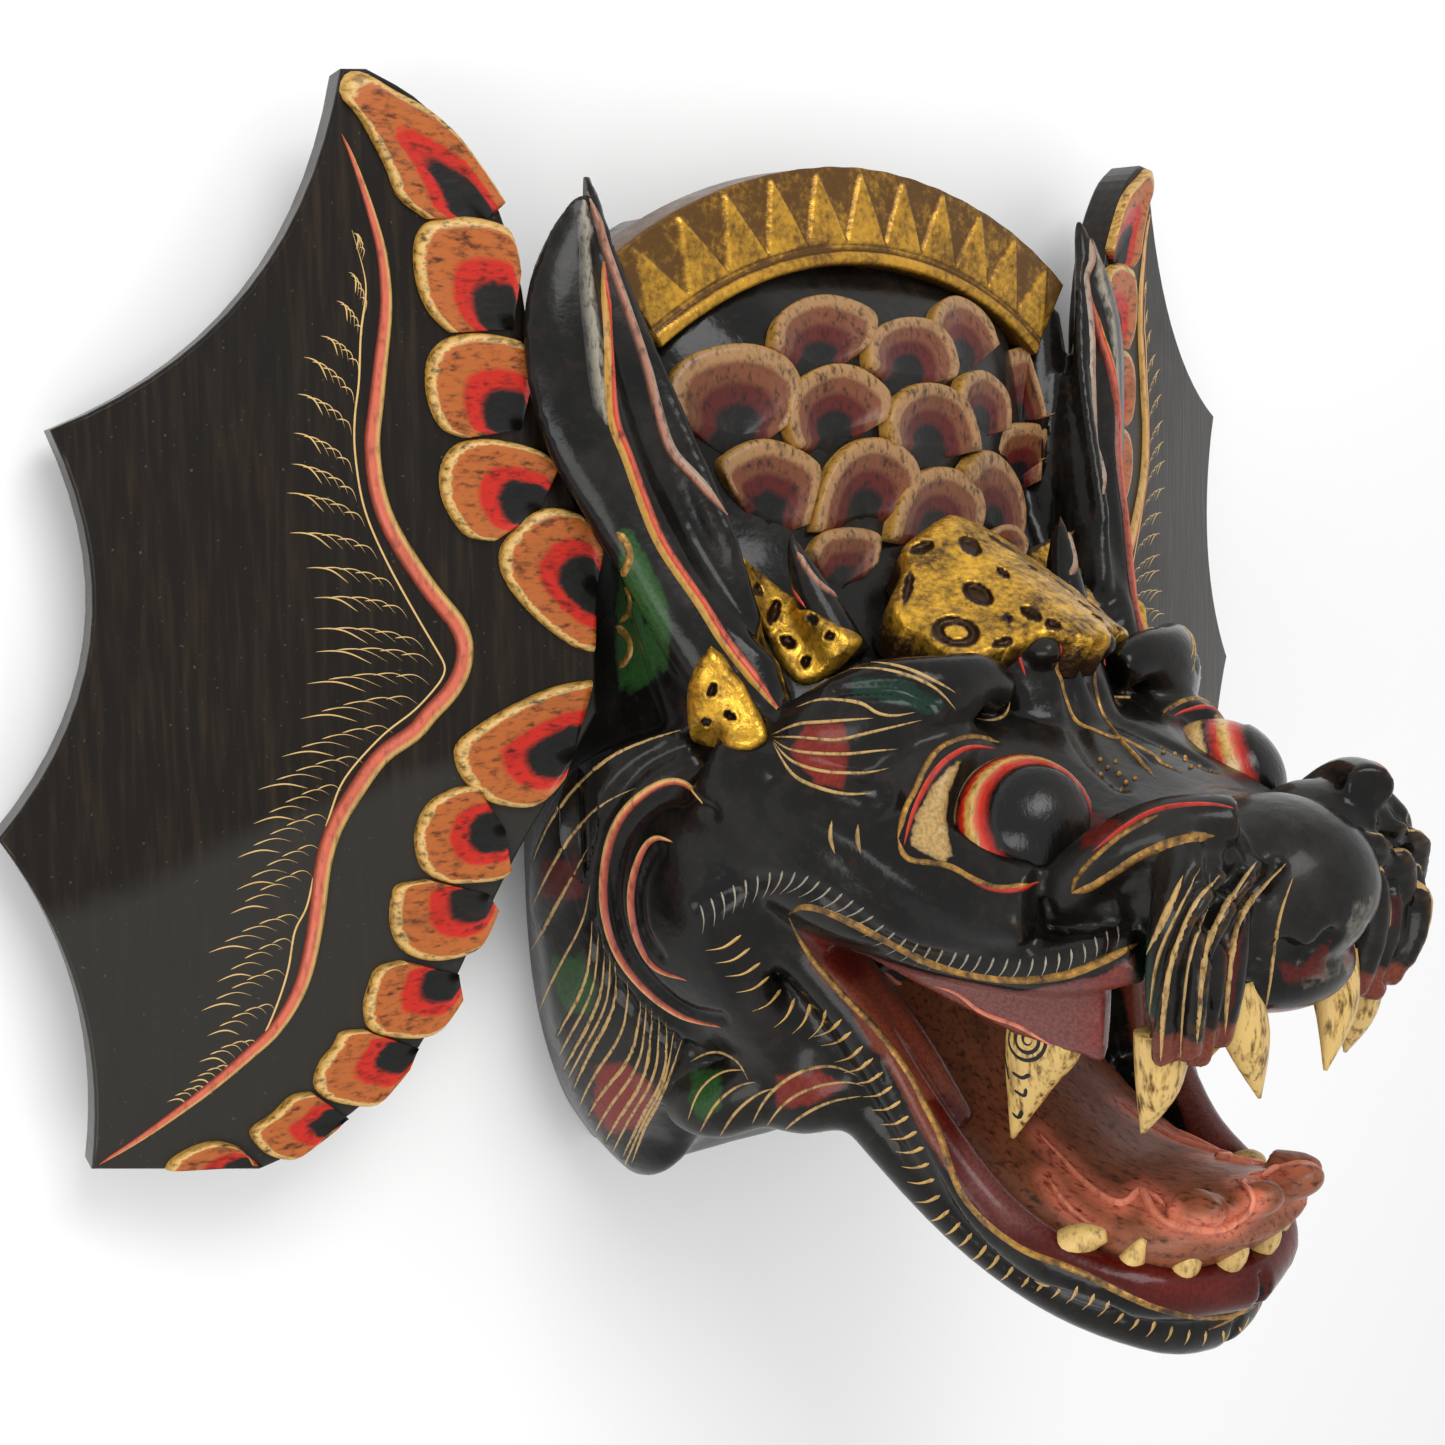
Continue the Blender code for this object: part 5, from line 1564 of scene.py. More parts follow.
@dataclass
class ForeheadScales:
    """Overlapping painted scales of the forehead."""

    rim_lift: float = 5.2 * MM
    widest_step: float = 12.0 * MM
    foot_share: float = 0.3
    foot_sink: float = 1.2 * MM
    eye_lift: float = 0.8 * MM
    flatten: float = 0.8
    foot_ring: float = 0.28
    rim_points: int = 30
    levels: tuple[tuple[float, float], ...] = (
        (0.0, 0.0), (0.15, 0.05), (0.3, 0.14), (0.45, 0.32), (0.6, 0.55), (0.72, 0.75), (0.82, 0.93),
        (0.9, 1.0), (0.96, 0.97), (0.99, 0.8), (1.0, 0.5), (1.004, -0.4))
    scales: tuple[WingScale, ...] = (
        WingScale((738, 436), ((668, 418), (663, 388), (678, 363), (708, 349), (745, 345), (778, 356),
            (795, 378), (797, 402), (783, 428))),
        WingScale((815, 366), ((764, 350), (771, 323), (792, 306), (819, 300), (847, 306), (868, 318),
            (871, 334), (862, 352))),
        WingScale((904, 374), ((861, 372), (860, 350), (870, 332), (895, 322), (925, 325), (944, 343),
            (951, 369), (948, 382))),
        WingScale((962, 362), ((922, 330), (930, 309), (948, 301), (969, 311), (983, 329), (989, 352))),
        WingScale((831, 434), ((787, 450), (781, 429), (782, 401), (796, 380), (824, 366), (852, 369),
            (875, 385), (884, 400), (880, 422))),
        WingScale((925, 446), ((881, 446), (879, 422), (888, 401), (911, 385), (939, 387), (960, 403),
            (969, 429), (971, 452))),
        WingScale((978, 424), ((948, 396), (955, 378), (974, 372), (992, 385), (1000, 405), (999, 432))),
        WingScale((1020, 431), ((987, 384), (992, 357), (1003, 347), (1020, 364), (1034, 392), (1040, 419),
            (1036, 438))),
        WingScale((768, 519), ((724, 487), (714, 466), (723, 454), (742, 443), (763, 439), (786, 445),
            (807, 458), (815, 474), (806, 524))),
        WingScale((861, 514), ((807, 532), (810, 502), (822, 470), (842, 447), (865, 438), (888, 442),
            (907, 461), (911, 485), (902, 512))),
        WingScale((930, 533), ((881, 541), (886, 516), (898, 488), (921, 470), (948, 470), (969, 488),
            (976, 511), (974, 532))),
        WingScale((994, 532), ((953, 468), (971, 452), (990, 456), (1006, 479), (1015, 511), (1017, 537))),
        WingScale((1015, 481), ((997, 446), (1004, 429), (1015, 423), (1029, 433), (1032, 456), (1030, 481))),
        WingScale((842, 586), ((803, 554), (813, 538), (830, 532), (847, 531), (864, 534), (874, 542),
            (872, 566))),
        WingScale((1001, 560), ((980, 537), (990, 530), (1002, 529), (1011, 535), (1018, 547), (1017, 559))),
    )

    def plate(self, surface: Surface, scale: WingScale) -> Optional[tuple[Vector, Vector, list[Vector]]]:
        """Lays one scale's rim nearly flat on the carving.

        Args:
            surface: The carved head.
            scale: The scale.

        Returns:
            Its eye, its normal and its rim, or None where a rim point misses the carving.
        """
        rim = [(x, y) for x, y in catmull(scale.rim, self.rim_points)]
        hits = [surface.under(pixel) for pixel in rim]
        eye_hit = surface.under(scale.eye)
        if eye_hit is None or any(hit is None for hit in hits):
            return None
        eye = eye_hit[0]
        normal = sum((n for _, n in hits), Vector()).normalized()
        gaps = [(p - eye).dot(normal) for p, _ in hits]
        good = [i for i, gap in enumerate(gaps) if abs(gap) < self.widest_step]
        flat = []
        for i, (place, _) in enumerate(hits):
            if i not in good:
                level = eye + normal * gaps[min(good, key=lambda k: abs(k - i))]
                place = VIEW.on_plane(rim[i], level, normal)
            flat.append(place)
        level = sum((p - eye).dot(normal) for p in flat) / len(flat)
        return eye, normal, [p - normal * ((p - eye).dot(normal) - level) * self.flatten for p in flat]

    def build(self, surface: Surface) -> None:
        """Makes the scales on the carved forehead, with feet that reach under their neighbours."""
        bm = bmesh.new()
        ring = bm.verts.layers.float.new("ring")
        for scale in self.scales:
            found = self.plate(surface, scale)
            if found is None:
                continue
            eye, normal, rim = found
            top = min(p[1] for p in scale.rim)
            foot = (scale.eye[0], scale.eye[1] + self.foot_share * (scale.eye[1] - top))
            foot_at = VIEW.on_plane(foot, eye, normal)
            feet = [rim[-1].lerp(foot_at, 0.6), foot_at, foot_at.lerp(rim[0], 0.4)]
            rows = []
            for share, lift in self.levels:
                height = self.eye_lift + (self.rim_lift - self.eye_lift) * lift
                low = self.eye_lift * (1.0 - share) - self.foot_sink * share
                row = []
                for k, point in enumerate((*rim, *feet)):
                    under = k >= len(rim)
                    vert = bm.verts.new(eye.lerp(point, share) + normal * (low if under else height))
                    vert[ring] = min(share, 1.0) * (self.foot_ring if under else 1.0)
                    row.append(vert)
                rows.append(row)
            Maker.skin(bm, rows, True)
        bmesh.ops.remove_doubles(bm, verts=bm.verts, dist=0.00001)
        bmesh.ops.recalc_face_normals(bm, faces=bm.faces)
        finish = BandPaint("forehead_scale_paint", "ring", (
            (0.0, Paint.BLACK), (0.3, Paint.BLACK), (0.38, Paint.DARK_RED), (0.52, Paint.DARK_RED),
            (0.6, Paint.RUSSET), (0.76, Paint.RUSSET), (0.81, Paint.WORN_CREAM), (0.95, Paint.WORN_CREAM),
            (1.0, Paint.OLD_GOLD)), streaks=0.9, jitter=0.1, stain=0.75, grain=(1.0, 0.5, 0.8))
        Maker.dress(Maker.object_from(bm, "forehead_scales"), finish, Slot.HEAD)


@dataclass
class Eyes:
    """Bulging eyes with a raised black pupil and painted rings."""

    centre: tuple[float, float, float] = (-51.0, -25.0, 184.0)
    radius: float = 22.5
    pupil_pixel: Pixel = (1047, 813)
    pupil_angle: float = math.radians(43.0)
    pupil_step: float = 1.0

    def build(self) -> None:
        """Makes both eyes."""
        centre = Vector(self.centre) * MM
        eye = Vector(VIEW.place)
        ray = VIEW.ray(self.pupil_pixel)
        near = eye + ray * (centre - eye).dot(ray)
        off = near - centre
        reach = math.sqrt(max((self.radius * MM) ** 2 - off.length_squared, 0.0))
        gaze = (off - ray * reach).normalized()
        turn = Vector((0, 0, 1)).rotation_difference(gaze).to_matrix().to_4x4()
        bm = bmesh.new()
        ring = bm.verts.layers.float.new("ring")
        bmesh.ops.create_uvsphere(bm, u_segments=48, v_segments=48, radius=1.0)
        for v in bm.verts:
            angle = math.acos(max(-1.0, min(1.0, v.co.normalized().z)))
            v[ring] = angle / math.pi
            step = 1.0 - float(smooth_step(self.pupil_angle - 0.05, self.pupil_angle + 0.06,
                                           np.array([angle]))[0])
            v.co = v.co.normalized() * (self.radius + self.pupil_step * step) * MM
        bmesh.ops.transform(bm, matrix=Matrix.Translation(centre) @ turn, verts=bm.verts)
        Maker.mirror(bm)
        edge = self.pupil_angle / math.pi
        finish = BandPaint("eye_paint", "ring", (
            (0.0, Paint.BLACK), (edge, Paint.BLACK), (edge + 0.01, Paint.DARK_RED),
            (edge + 0.05, Paint.RED), (edge + 0.075, Paint.SALMON), (edge + 0.095, Paint.CREAM),
            (edge + 0.13, Paint.OLD_GOLD), (edge + 0.15, Paint.RED), (edge + 0.19, Paint.DARK_RED),
            (edge + 0.2, Paint.BLACK), (edge + 0.22, Paint.CREAM), (edge + 0.3, Paint.WORN_CREAM),
            (1.0, Paint.TAN)), rough=0.16, streaks=0.5, jitter=0.03, stain=0.35)
        Maker.dress(Maker.object_from(bm, "eyes"), finish, Slot.HEAD)


@dataclass
class Fangs:
    """Three pairs of bone-coloured fangs."""

    shapes: tuple[Form, ...] = (
        Form(((27, -66, 244, 10, 8), (24, -82, 249, 8, 6), (18, -101, 250, 0.6, 0.6)), steps=6),
        Form(((53, -76, 240, 10, 8), (54, -92, 239, 7, 6), (55, -107, 235, 0.6, 0.6)), steps=6),
        Form(((54, -70, 202, 12, 5), (54, -84, 198, 14, 6), (53, -98, 192, 10, 5), (50, -124, 183, 0.8, 0.8)),
            (0, 0, 1), steps=6),
    )

    def build(self) -> bpy.types.Object:
        """Makes the fangs and returns them."""
        bm = bmesh.new()
        for shape in self.shapes:
            shape.add(bm, 24)
        finish = BandPaint("fang_bone", "ring", (
            (0.0, Paint.BONE), (0.16, Paint.OLD_GOLD), (1.0, Paint.BONE)),
            streaks=0.95, jitter=0.4, stain=0.85, grain=(1.0, 0.25, 1.0))
        return Maker.dress(Maker.object_from(bm, "fangs"), finish, Slot.HEAD)


@dataclass
class Tongue:
    """The tongue with its curled tips and coral ridges, and the small teeth of the lower jaw."""

    shapes: tuple[Form, ...] = (
        Form(((0, -62, 100, 62, 10), (0, -84, 106, 62, 14), (0, -112, 126, 52, 14), (0, -136, 150, 45, 14),
            (0, -154, 186, 44, 15), (0, -153, 220, 38, 14), (0, -142, 242, 24, 9)), power=2.4, paired=False),
        Form(((10, -140, 240, 9, 6), (11, -134, 250, 7, 5), (11, -131, 254, 2, 2)), steps=3),
        Form(((23, -140, 230, 9, 6), (26, -138, 240, 7, 5), (26, -135, 244, 2, 2)), steps=3),
    )
    teeth: tuple[Form, ...] = (
        Form(((46, -166, 196, 7, 5), (47, -157, 201, 8, 6), (45, -151, 208, 6, 5), (42, -149, 214, 2, 2)),
            steps=4),
        Form(((37, -166, 215, 5, 4), (37, -157, 220, 5, 4), (35, -149, 223, 1.2, 1.2)), steps=4),
        Form(((25, -166, 226, 5, 4), (25, -157, 232, 5, 4), (24, -149, 235, 1.2, 1.2)), steps=4),
        Form(((9, -166, 231, 5, 4), (9, -157, 238, 5, 4), (9, -149, 241, 1.2, 1.2)), steps=4),
    )
    ridges: tuple[tuple[float, tuple[Pixel, ...]], ...] = (
        (3.2, ((1040, 1135), (1062, 1158), (1080, 1178), (1102, 1196), (1124, 1204), (1141, 1190),
            (1154, 1212), (1176, 1224), (1198, 1228), (1224, 1228), (1244, 1216), (1255, 1202), (1250, 1190),
            (1236, 1180))),
        (2.6, ((1048, 1178), (1062, 1200), (1080, 1218), (1098, 1228))),
        (2.2, ((1141, 1190), (1158, 1200), (1172, 1214))),
        (2.4, ((1262, 1176), (1278, 1168), (1292, 1162))),
    )

    voxel: float = 1.3 * MM
    ridge_height: float = 1.7 * MM
    ridge_reach: float = 19.0

    def build(self) -> None:
        """Makes the tongue, its coral ridges and the lower teeth."""
        bm = bmesh.new()
        for shape in self.shapes:
            shape.add(bm, 28)
        obj = Maker.object_from(bm, "tongue")
        Maker.fuse(obj, self.voxel)
        for face in obj.data.polygons:
            face.use_smooth = True
        places = np.array([tuple(v.co) for v in obj.data.vertices])
        places[:, 0] = -np.abs(places[:, 0])
        seen = VIEW.pixels(places)
        gap = np.full(len(seen), 1e9)
        for _, line in self.ridges:
            for spot in catmull(line, 40):
                gap = np.minimum(gap, np.hypot(*(seen - np.array(spot)).T))
        ring = obj.data.attributes.new("ring", "FLOAT", "POINT")
        ring.data.foreach_set("value", np.clip(0.75 * np.exp(-(gap / self.ridge_reach) ** 2) + 0.2, 0.0, 1.0))
        finish = BandPaint("tongue_paint", "ring", (
            (0.0, Paint.UMBER), (0.12, Paint.TONGUE), (0.5, Paint.TONGUE), (0.85, Paint.CORAL),
            (1.0, Paint.SALMON)), streaks=0.9, jitter=0.3, stain=0.7, grain=(1.0, 1.0, 0.4))
        surface = Surface(obj)
        Maker.dress(obj, finish, Slot.HEAD)
        ribbons = Ribbons(surface)
        for width, line in self.ridges:
            ribbons.lay(surface.path(line), width * MM, self.ridge_height, blade, spans=6)
        ribbons.build("tongue_ridges", Finishes.coral, Slot.HEAD)
        bm = bmesh.new()
        for shape in self.teeth:
            shape.add(bm, 20)
        bone = ((0.0, Paint.BONE), (1.0, Paint.CREAM))
        finish = BandPaint("tooth_bone", "ring", bone, streaks=0.7, stain=0.7)
        Maker.dress(Maker.object_from(bm, "lower_teeth"), finish, Slot.HEAD)


class Finishes:
    """The finishes of the head's painted lines and small pieces."""

    gold_line = Gilding("gold_line", Paint.BRIGHT_GOLD, Paint.UMBER, 0.3, 0.3, 1.0)
    cream_line = BandPaint("cream_line", "across", ((0.0, Paint.OLD_GOLD), (0.35, Paint.LINE_CREAM),
        (0.8, Paint.LINE_CREAM), (1.0, Paint.OLD_GOLD)), streaks=0.9, stain=0.6)
    tick = BandPaint("tick_paint", "across", ((0.0, Paint.CREAM), (1.0, Paint.OLD_GOLD)), streaks=0.5)
    grey_tick = BandPaint("grey_tick_paint", "across", ((0.0, Paint.GREY_TICK), (1.0, Paint.GREY_TICK)),
        streaks=0.5)
    ear_rim = BandPaint("ear_rim_paint", "across", ((0.0, Paint.OLD_GOLD), (0.3, Paint.OLD_GOLD),
        (0.42, Paint.RED), (0.6, Paint.SALMON), (1.0, Paint.DARK_RED)), streaks=0.7)
    # pink-brown paint with a painted grey highlight along one side of the ridge; the spikes' rims use it too
    inner_rim = BandPaint("inner_rim_paint_and_highlight", "across", ((0.0, Paint.GREY_BLACK), (0.4, Paint.PINK_BROWN),
        (1.0, Paint.GREY_TICK)), streaks=0.8)
    curl = BandPaint("curl_paint", "across", ((0.0, Paint.BRIGHT_GOLD), (0.35, Paint.CREAM),
        (0.6, Paint.SALMON), (1.0, Paint.DARK_RED)), streaks=0.6)
    red_edge = BandPaint("red_edge_paint", "across", ((0.0, Paint.DARK_RED), (0.5, Paint.RED),
        (1.0, Paint.SALMON)), streaks=0.6)
    stipple = BandPaint("stipple_paint", "across", ((0.0, Paint.BLACK), (0.2, Paint.GREY_BLACK),
        (0.5, Paint.GREY_TICK), (0.85, Paint.GREY_BLACK), (1.0, Paint.BLACK)), streaks=0.9, jitter=0.35)
    coral = BandPaint("coral_paint", "across", ((0.0, Paint.CORAL), (0.4, Paint.LIGHT_CORAL),
        (1.0, Paint.CORAL)), streaks=0.5, stain=0.4)
    dark_line = BandPaint("dark_line", "across", ((0.0, Paint.BLACK), (1.0, Paint.BLACK)))
    leaf = Gilding("gold_leaf", Paint.LEAF_GOLD, Paint.UMBER, 0.7, 0.24, 0.9)


@dataclass
class LineWork:
    """Painted lines, ticks and raised welts of the face, by picture points of the left half."""

    gold: tuple[tuple[float, tuple[Pixel, ...]], ...] = (
        (3.0, ((789, 914), (803, 907), (824, 911), (861, 928), (898, 948), (930, 964), (971, 976),
            (1017, 981), (1063, 976), (1100, 962), (1137, 944))),
        (2.4, ((789, 918), (799, 939), (815, 962), (842, 994), (870, 1022), (893, 1050), (911, 1077),
            (925, 1105), (939, 1133), (948, 1160), (958, 1188), (974, 1211), (999, 1234), (1027, 1252),
            (1054, 1262), (1087, 1275), (1119, 1292), (1156, 1308), (1193, 1317), (1225, 1317), (1252, 1308),
            (1271, 1289))),
        (1.6, ((1095, 648), (1094, 675), (1101, 710), (1118, 736), (1137, 757), (1155, 778))),
        (2.2, ((898, 838), (904, 812), (916, 788), (926, 766), (939, 748), (956, 740), (975, 736),
            (999, 742))),
        (2.0, ((898, 838), (905, 858), (925, 862), (950, 866), (975, 880), (1000, 888), (1030, 884))),
        (3.0, ((617, 532), (627, 544), (630, 560), (622, 576))),
        (3.0, ((616, 580), (628, 592), (630, 608), (620, 622))),
        (3.0, ((616, 626), (629, 638), (630, 654), (619, 668))),
        (3.4, ((1072, 893), (1088, 889), (1110, 876), (1137, 858), (1165, 845), (1190, 838), (1214, 836))),
        (1.8, ((1072, 893), (1076, 878), (1096, 856), (1125, 832), (1158, 815))),
    )
    red: tuple[tuple[float, tuple[Pixel, ...]], ...] = (
        (2.6, ((904, 846), (912, 816), (926, 786), (944, 762), (968, 748), (996, 748))),
        (2.6, ((960, 872), (985, 886), (1014, 890), (1040, 882))),
        (2.6, ((1092, 852), (1120, 830), (1152, 811), (1190, 804), (1226, 806), (1250, 818))),
        (1.8, ((785, 563), (790, 582), (798, 598), (806, 608))),
        (1.6, ((1017, 646), (1020, 662), (1026, 677))),
        (1.6, ((1059, 639), (1060, 648), (1061, 656))),
    )
    cream: tuple[tuple[float, tuple[Pixel, ...]], ...] = (
        (1.5, ((769, 736), (797, 707), (820, 680), (855, 664), (883, 663), (912, 670), (941, 684),
            (956, 693))),
        (1.3, ((803, 701), (836, 674), (862, 668), (889, 670), (916, 678), (939, 691), (956, 710))),
        (1.4, ((797, 707), (822, 699), (862, 703), (874, 712), (893, 716), (916, 712))),
        (1.3, ((771, 735), (797, 724), (820, 722), (847, 720), (874, 718))),
        (1.3, ((771, 737), (797, 737), (836, 740), (859, 735), (889, 728), (922, 720))),
        (1.4, ((773, 739), (788, 749), (813, 753), (847, 754), (874, 751), (899, 749))),
        (1.4, ((773, 741), (790, 760), (817, 770), (847, 773), (870, 772), (889, 768))),
        (1.5, ((773, 743), (792, 774), (817, 787), (845, 794), (874, 793))),
        (1.6, ((956, 693), (960, 710), (975, 718), (996, 720), (1009, 707), (1008, 684), (998, 673))),
        (2.2, ((1183, 875), (1165, 916), (1144, 962), (1135, 1017), (1133, 1045))),
        (1.3, ((1200, 868), (1178, 912), (1158, 958), (1150, 1008), (1146, 1050))),
        (2.6, ((1220, 875), (1193, 907), (1174, 953), (1165, 999), (1160, 1073))),
        (1.4, ((1240, 862), (1212, 900), (1192, 950), (1184, 1000), (1180, 1060))),
        (2.6, ((1257, 861), (1225, 907), (1206, 953), (1199, 1017), (1197, 1045))),
        (2.4, ((1289, 861), (1266, 884), (1239, 921), (1229, 981), (1225, 1036))),
        (1.4, ((1294, 875), (1280, 916), (1273, 962), (1266, 1008))),
        (1.8, ((832, 820), (830, 838), (835, 854))),
        (1.8, ((858, 824), (857, 840), (861, 854))),
        (1.4, ((690, 1062), (712, 1052), (736, 1060), (748, 1080))),
        (1.3, ((688, 1120), (700, 1090), (722, 1072), (744, 1070))),
        (1.3, ((700, 1132), (716, 1104), (738, 1086), (756, 1082))),
        (1.3, ((720, 1136), (736, 1112), (758, 1094), (776, 1088))),
        (1.5, ((752, 1124), (768, 1096), (796, 1074), (830, 1066), (858, 1076))),
        (1.3, ((764, 1130), (784, 1104), (812, 1088), (845, 1082), (864, 1086))),
        (1.3, ((780, 1134), (802, 1116), (830, 1102), (862, 1096))),
    )
    curls: tuple[tuple[float, tuple[Pixel, ...]], ...] = (
        (4.2, ((703, 803), (682, 782), (654, 787), (622, 815), (606, 856), (604, 907), (617, 953), (645, 990),
            (682, 1017), (722, 1027))),
        (3.6, ((673, 842), (654, 838), (640, 856), (631, 893), (636, 934), (654, 967), (687, 980))),
    )
    outer_rim: tuple[Pixel, ...] = (
        (604, 262), (605, 298), (608, 350), (614, 420), (627, 454), (642, 497), (659, 539), (679, 571),
        (702, 604), (723, 638), (751, 674), (778, 709))
    inner_rim: tuple[Pixel, ...] = (
        (588, 192), (608, 255), (627, 308), (645, 360), (657, 408), (671, 451), (694, 476), (718, 504),
        (740, 530), (758, 552))
    ear_strip: tuple[Pixel, ...] = ((584, 200), (586, 240), (589, 290), (594, 335), (600, 385), (608, 425))
    spike_rim: tuple[Pixel, ...] = ((797, 552), (817, 582), (855, 609), (889, 632))
    upper_ticks: tuple[Pixel, ...] = (
        (700, 905), (735, 884), (770, 872), (796, 872), (815, 879), (838, 891), (861, 905), (884, 925),
        (907, 939), (934, 948), (962, 953), (999, 958), (1036, 958), (1073, 948), (1100, 934), (1128, 921))
    lower_ticks: tuple[Pixel, ...] = (
        (741, 935), (757, 958), (772, 980), (790, 996), (815, 1006), (838, 1016), (856, 1038), (876, 1062),
        (893, 1088), (908, 1115), (922, 1143), (932, 1172), (942, 1199), (960, 1222), (988, 1246),
        (1018, 1264), (1048, 1275), (1082, 1288), (1116, 1304), (1154, 1321), (1193, 1330), (1228, 1330),
        (1256, 1320))
    torn: tuple[tuple[float, tuple[Pixel, ...]], ...] = (
        (2.2, ((848, 952), (862, 968), (884, 972), (898, 984), (920, 984))),
        (1.8, ((934, 986), (958, 994), (975, 1008), (990, 1016), (1018, 1026), (1044, 1041), (1070, 1054),
            (1092, 1062), (1104, 1060), (1116, 1052))),
    )
    dots: tuple[Pixel, ...] = (
        (1100, 760), (1108, 768), (1101, 775), (1116, 762), (1119, 774), (1126, 783), (1121, 791),
        (1135, 779))

    def comb(self, ribbons: Ribbons, line: Sequence[Pixel], step: float, reach: tuple[float, float],
             lean: float, width: float) -> None:
        """Adds a row of short ticks beside a line.

        Args:
            ribbons: Where to add them.
            line: Picture points that the ticks start from.
            step: Distance between the ticks, in picture points.
            reach: Length of the first and the last tick, in picture points.
            lean: How far a tick leans along the line, as a share of its length.
            width: Width of a tick.
        """
        rows = catmull(line, 400)
        total = sum(math.dist(a, b) for a, b in zip(rows, rows[1:]))
        done, next_at = 0.0, 0.0
        for a, b in zip(rows, rows[1:]):
            along = math.dist(a, b)
            done += along
            if done < next_at or along < 1e-6:
                continue
            next_at += step
            share = done / total
            length = reach[0] + (reach[1] - reach[0]) * share
            tx, ty = (b[0] - a[0]) / along, (b[1] - a[1]) / along
            nx, ny = -ty, tx
            end = (a[0] + (nx - tx * lean) * length, a[1] + (ny - ty * lean) * length)
            bend = ((a[0] * 0.45 + end[0] * 0.55 + tx * length * 0.12),
                    (a[1] * 0.45 + end[1] * 0.55 + ty * length * 0.12))
            path = ribbons.surface.path((a, bend, end), 1.2 * MM, 1)
            ribbons.lay(path, width, 0.3 * MM, comet)

    def build(self, surface: Surface) -> None:
        """Makes all the lines of the face."""
        for name, lines, finish, height, profile in (
                ("gold_lines", self.gold, Finishes.gold_line, 0.7, cord),
                ("red_lines", self.red, Finishes.red_edge, 0.5, blade),
                ("cream_lines", self.cream, Finishes.cream_line, 0.45, blade),
                ("torn_edges", self.torn, Finishes.coral, 0.8, blade),
                ("cheek_curls", self.curls, Finishes.curl, 1.3, blade)):
            ribbons = Ribbons(surface)
            for width, line in lines:
                ribbons.lay(surface.path(line), width * MM, height * MM, profile, spans=4)
            ribbons.build(name, finish, Slot.HEAD)
        strands = Ribbons(surface)
        for low, high in zip(Sculptor.mane, Sculptor.mane[1:]):
            for share in (0.0, 0.5):
                line = [tuple(np.array(a) * (1 - share) + np.array(b) * share)
                        for a, b in zip(catmull(low, 8), catmull(high, 8))]
                strands.lay(surface.path(line), 1.5 * MM, 0.4 * MM, blade)
        strands.lay(surface.path(Sculptor.mane[-1]), 1.5 * MM, 0.4 * MM, blade)
        strands.build("mane_strands", Finishes.cream_line, Slot.HEAD)
        for name, line, width, height, finish in (
                ("ear_outer_rims", self.outer_rim, 4.6, 1.8, Finishes.ear_rim),
                ("ear_inner_rims", self.inner_rim, 3.8, 1.4, Finishes.inner_rim),
                ("ear_strips", self.ear_strip, 9.0, 0.3, Finishes.stipple),
                ("spike_rims", self.spike_rim, 3.0, 0.8, Finishes.inner_rim)):
            ribbons = Ribbons(surface)
            ribbons.lay(surface.path(line, 1.6 * MM, 4), width * MM, height * MM, cord, spans=6)
            ribbons.build(name, finish, Slot.HEAD)
        upper = Ribbons(surface)
        self.comb(upper, self.upper_ticks, 13.0, (26.0, 20.0), 0.5, 1.2 * MM)
        upper.build("upper_lip_ticks", Finishes.grey_tick, Slot.HEAD)
        lower = Ribbons(surface)
        self.comb(lower, self.lower_ticks, 17.0, (38.0, 14.0), 0.2, 2.0 * MM)
        lower.build("lower_lip_ticks", Finishes.tick, Slot.HEAD)
        bm = bmesh.new()
        for dot in self.dots:
            hit = surface.under(dot)
            if hit:
                shape = Matrix.Translation(hit[0]) @ Matrix.Diagonal((1, 1, 0.6, 1))
                bmesh.ops.create_icosphere(bm, subdivisions=2, radius=1.1 * MM, matrix=shape)
        Maker.mirror(bm)
        Maker.dress(Maker.object_from(bm, "bridge_dots"), Finishes.gold_line, Slot.HEAD)


@dataclass(frozen=True)
class Hole:
    """A dark hole of a gilded leaf: picture centre, two radii in picture points, and turn."""

    centre: Pixel
    radii: Pixel
    turn: float = 0.0
    ringed: bool = False


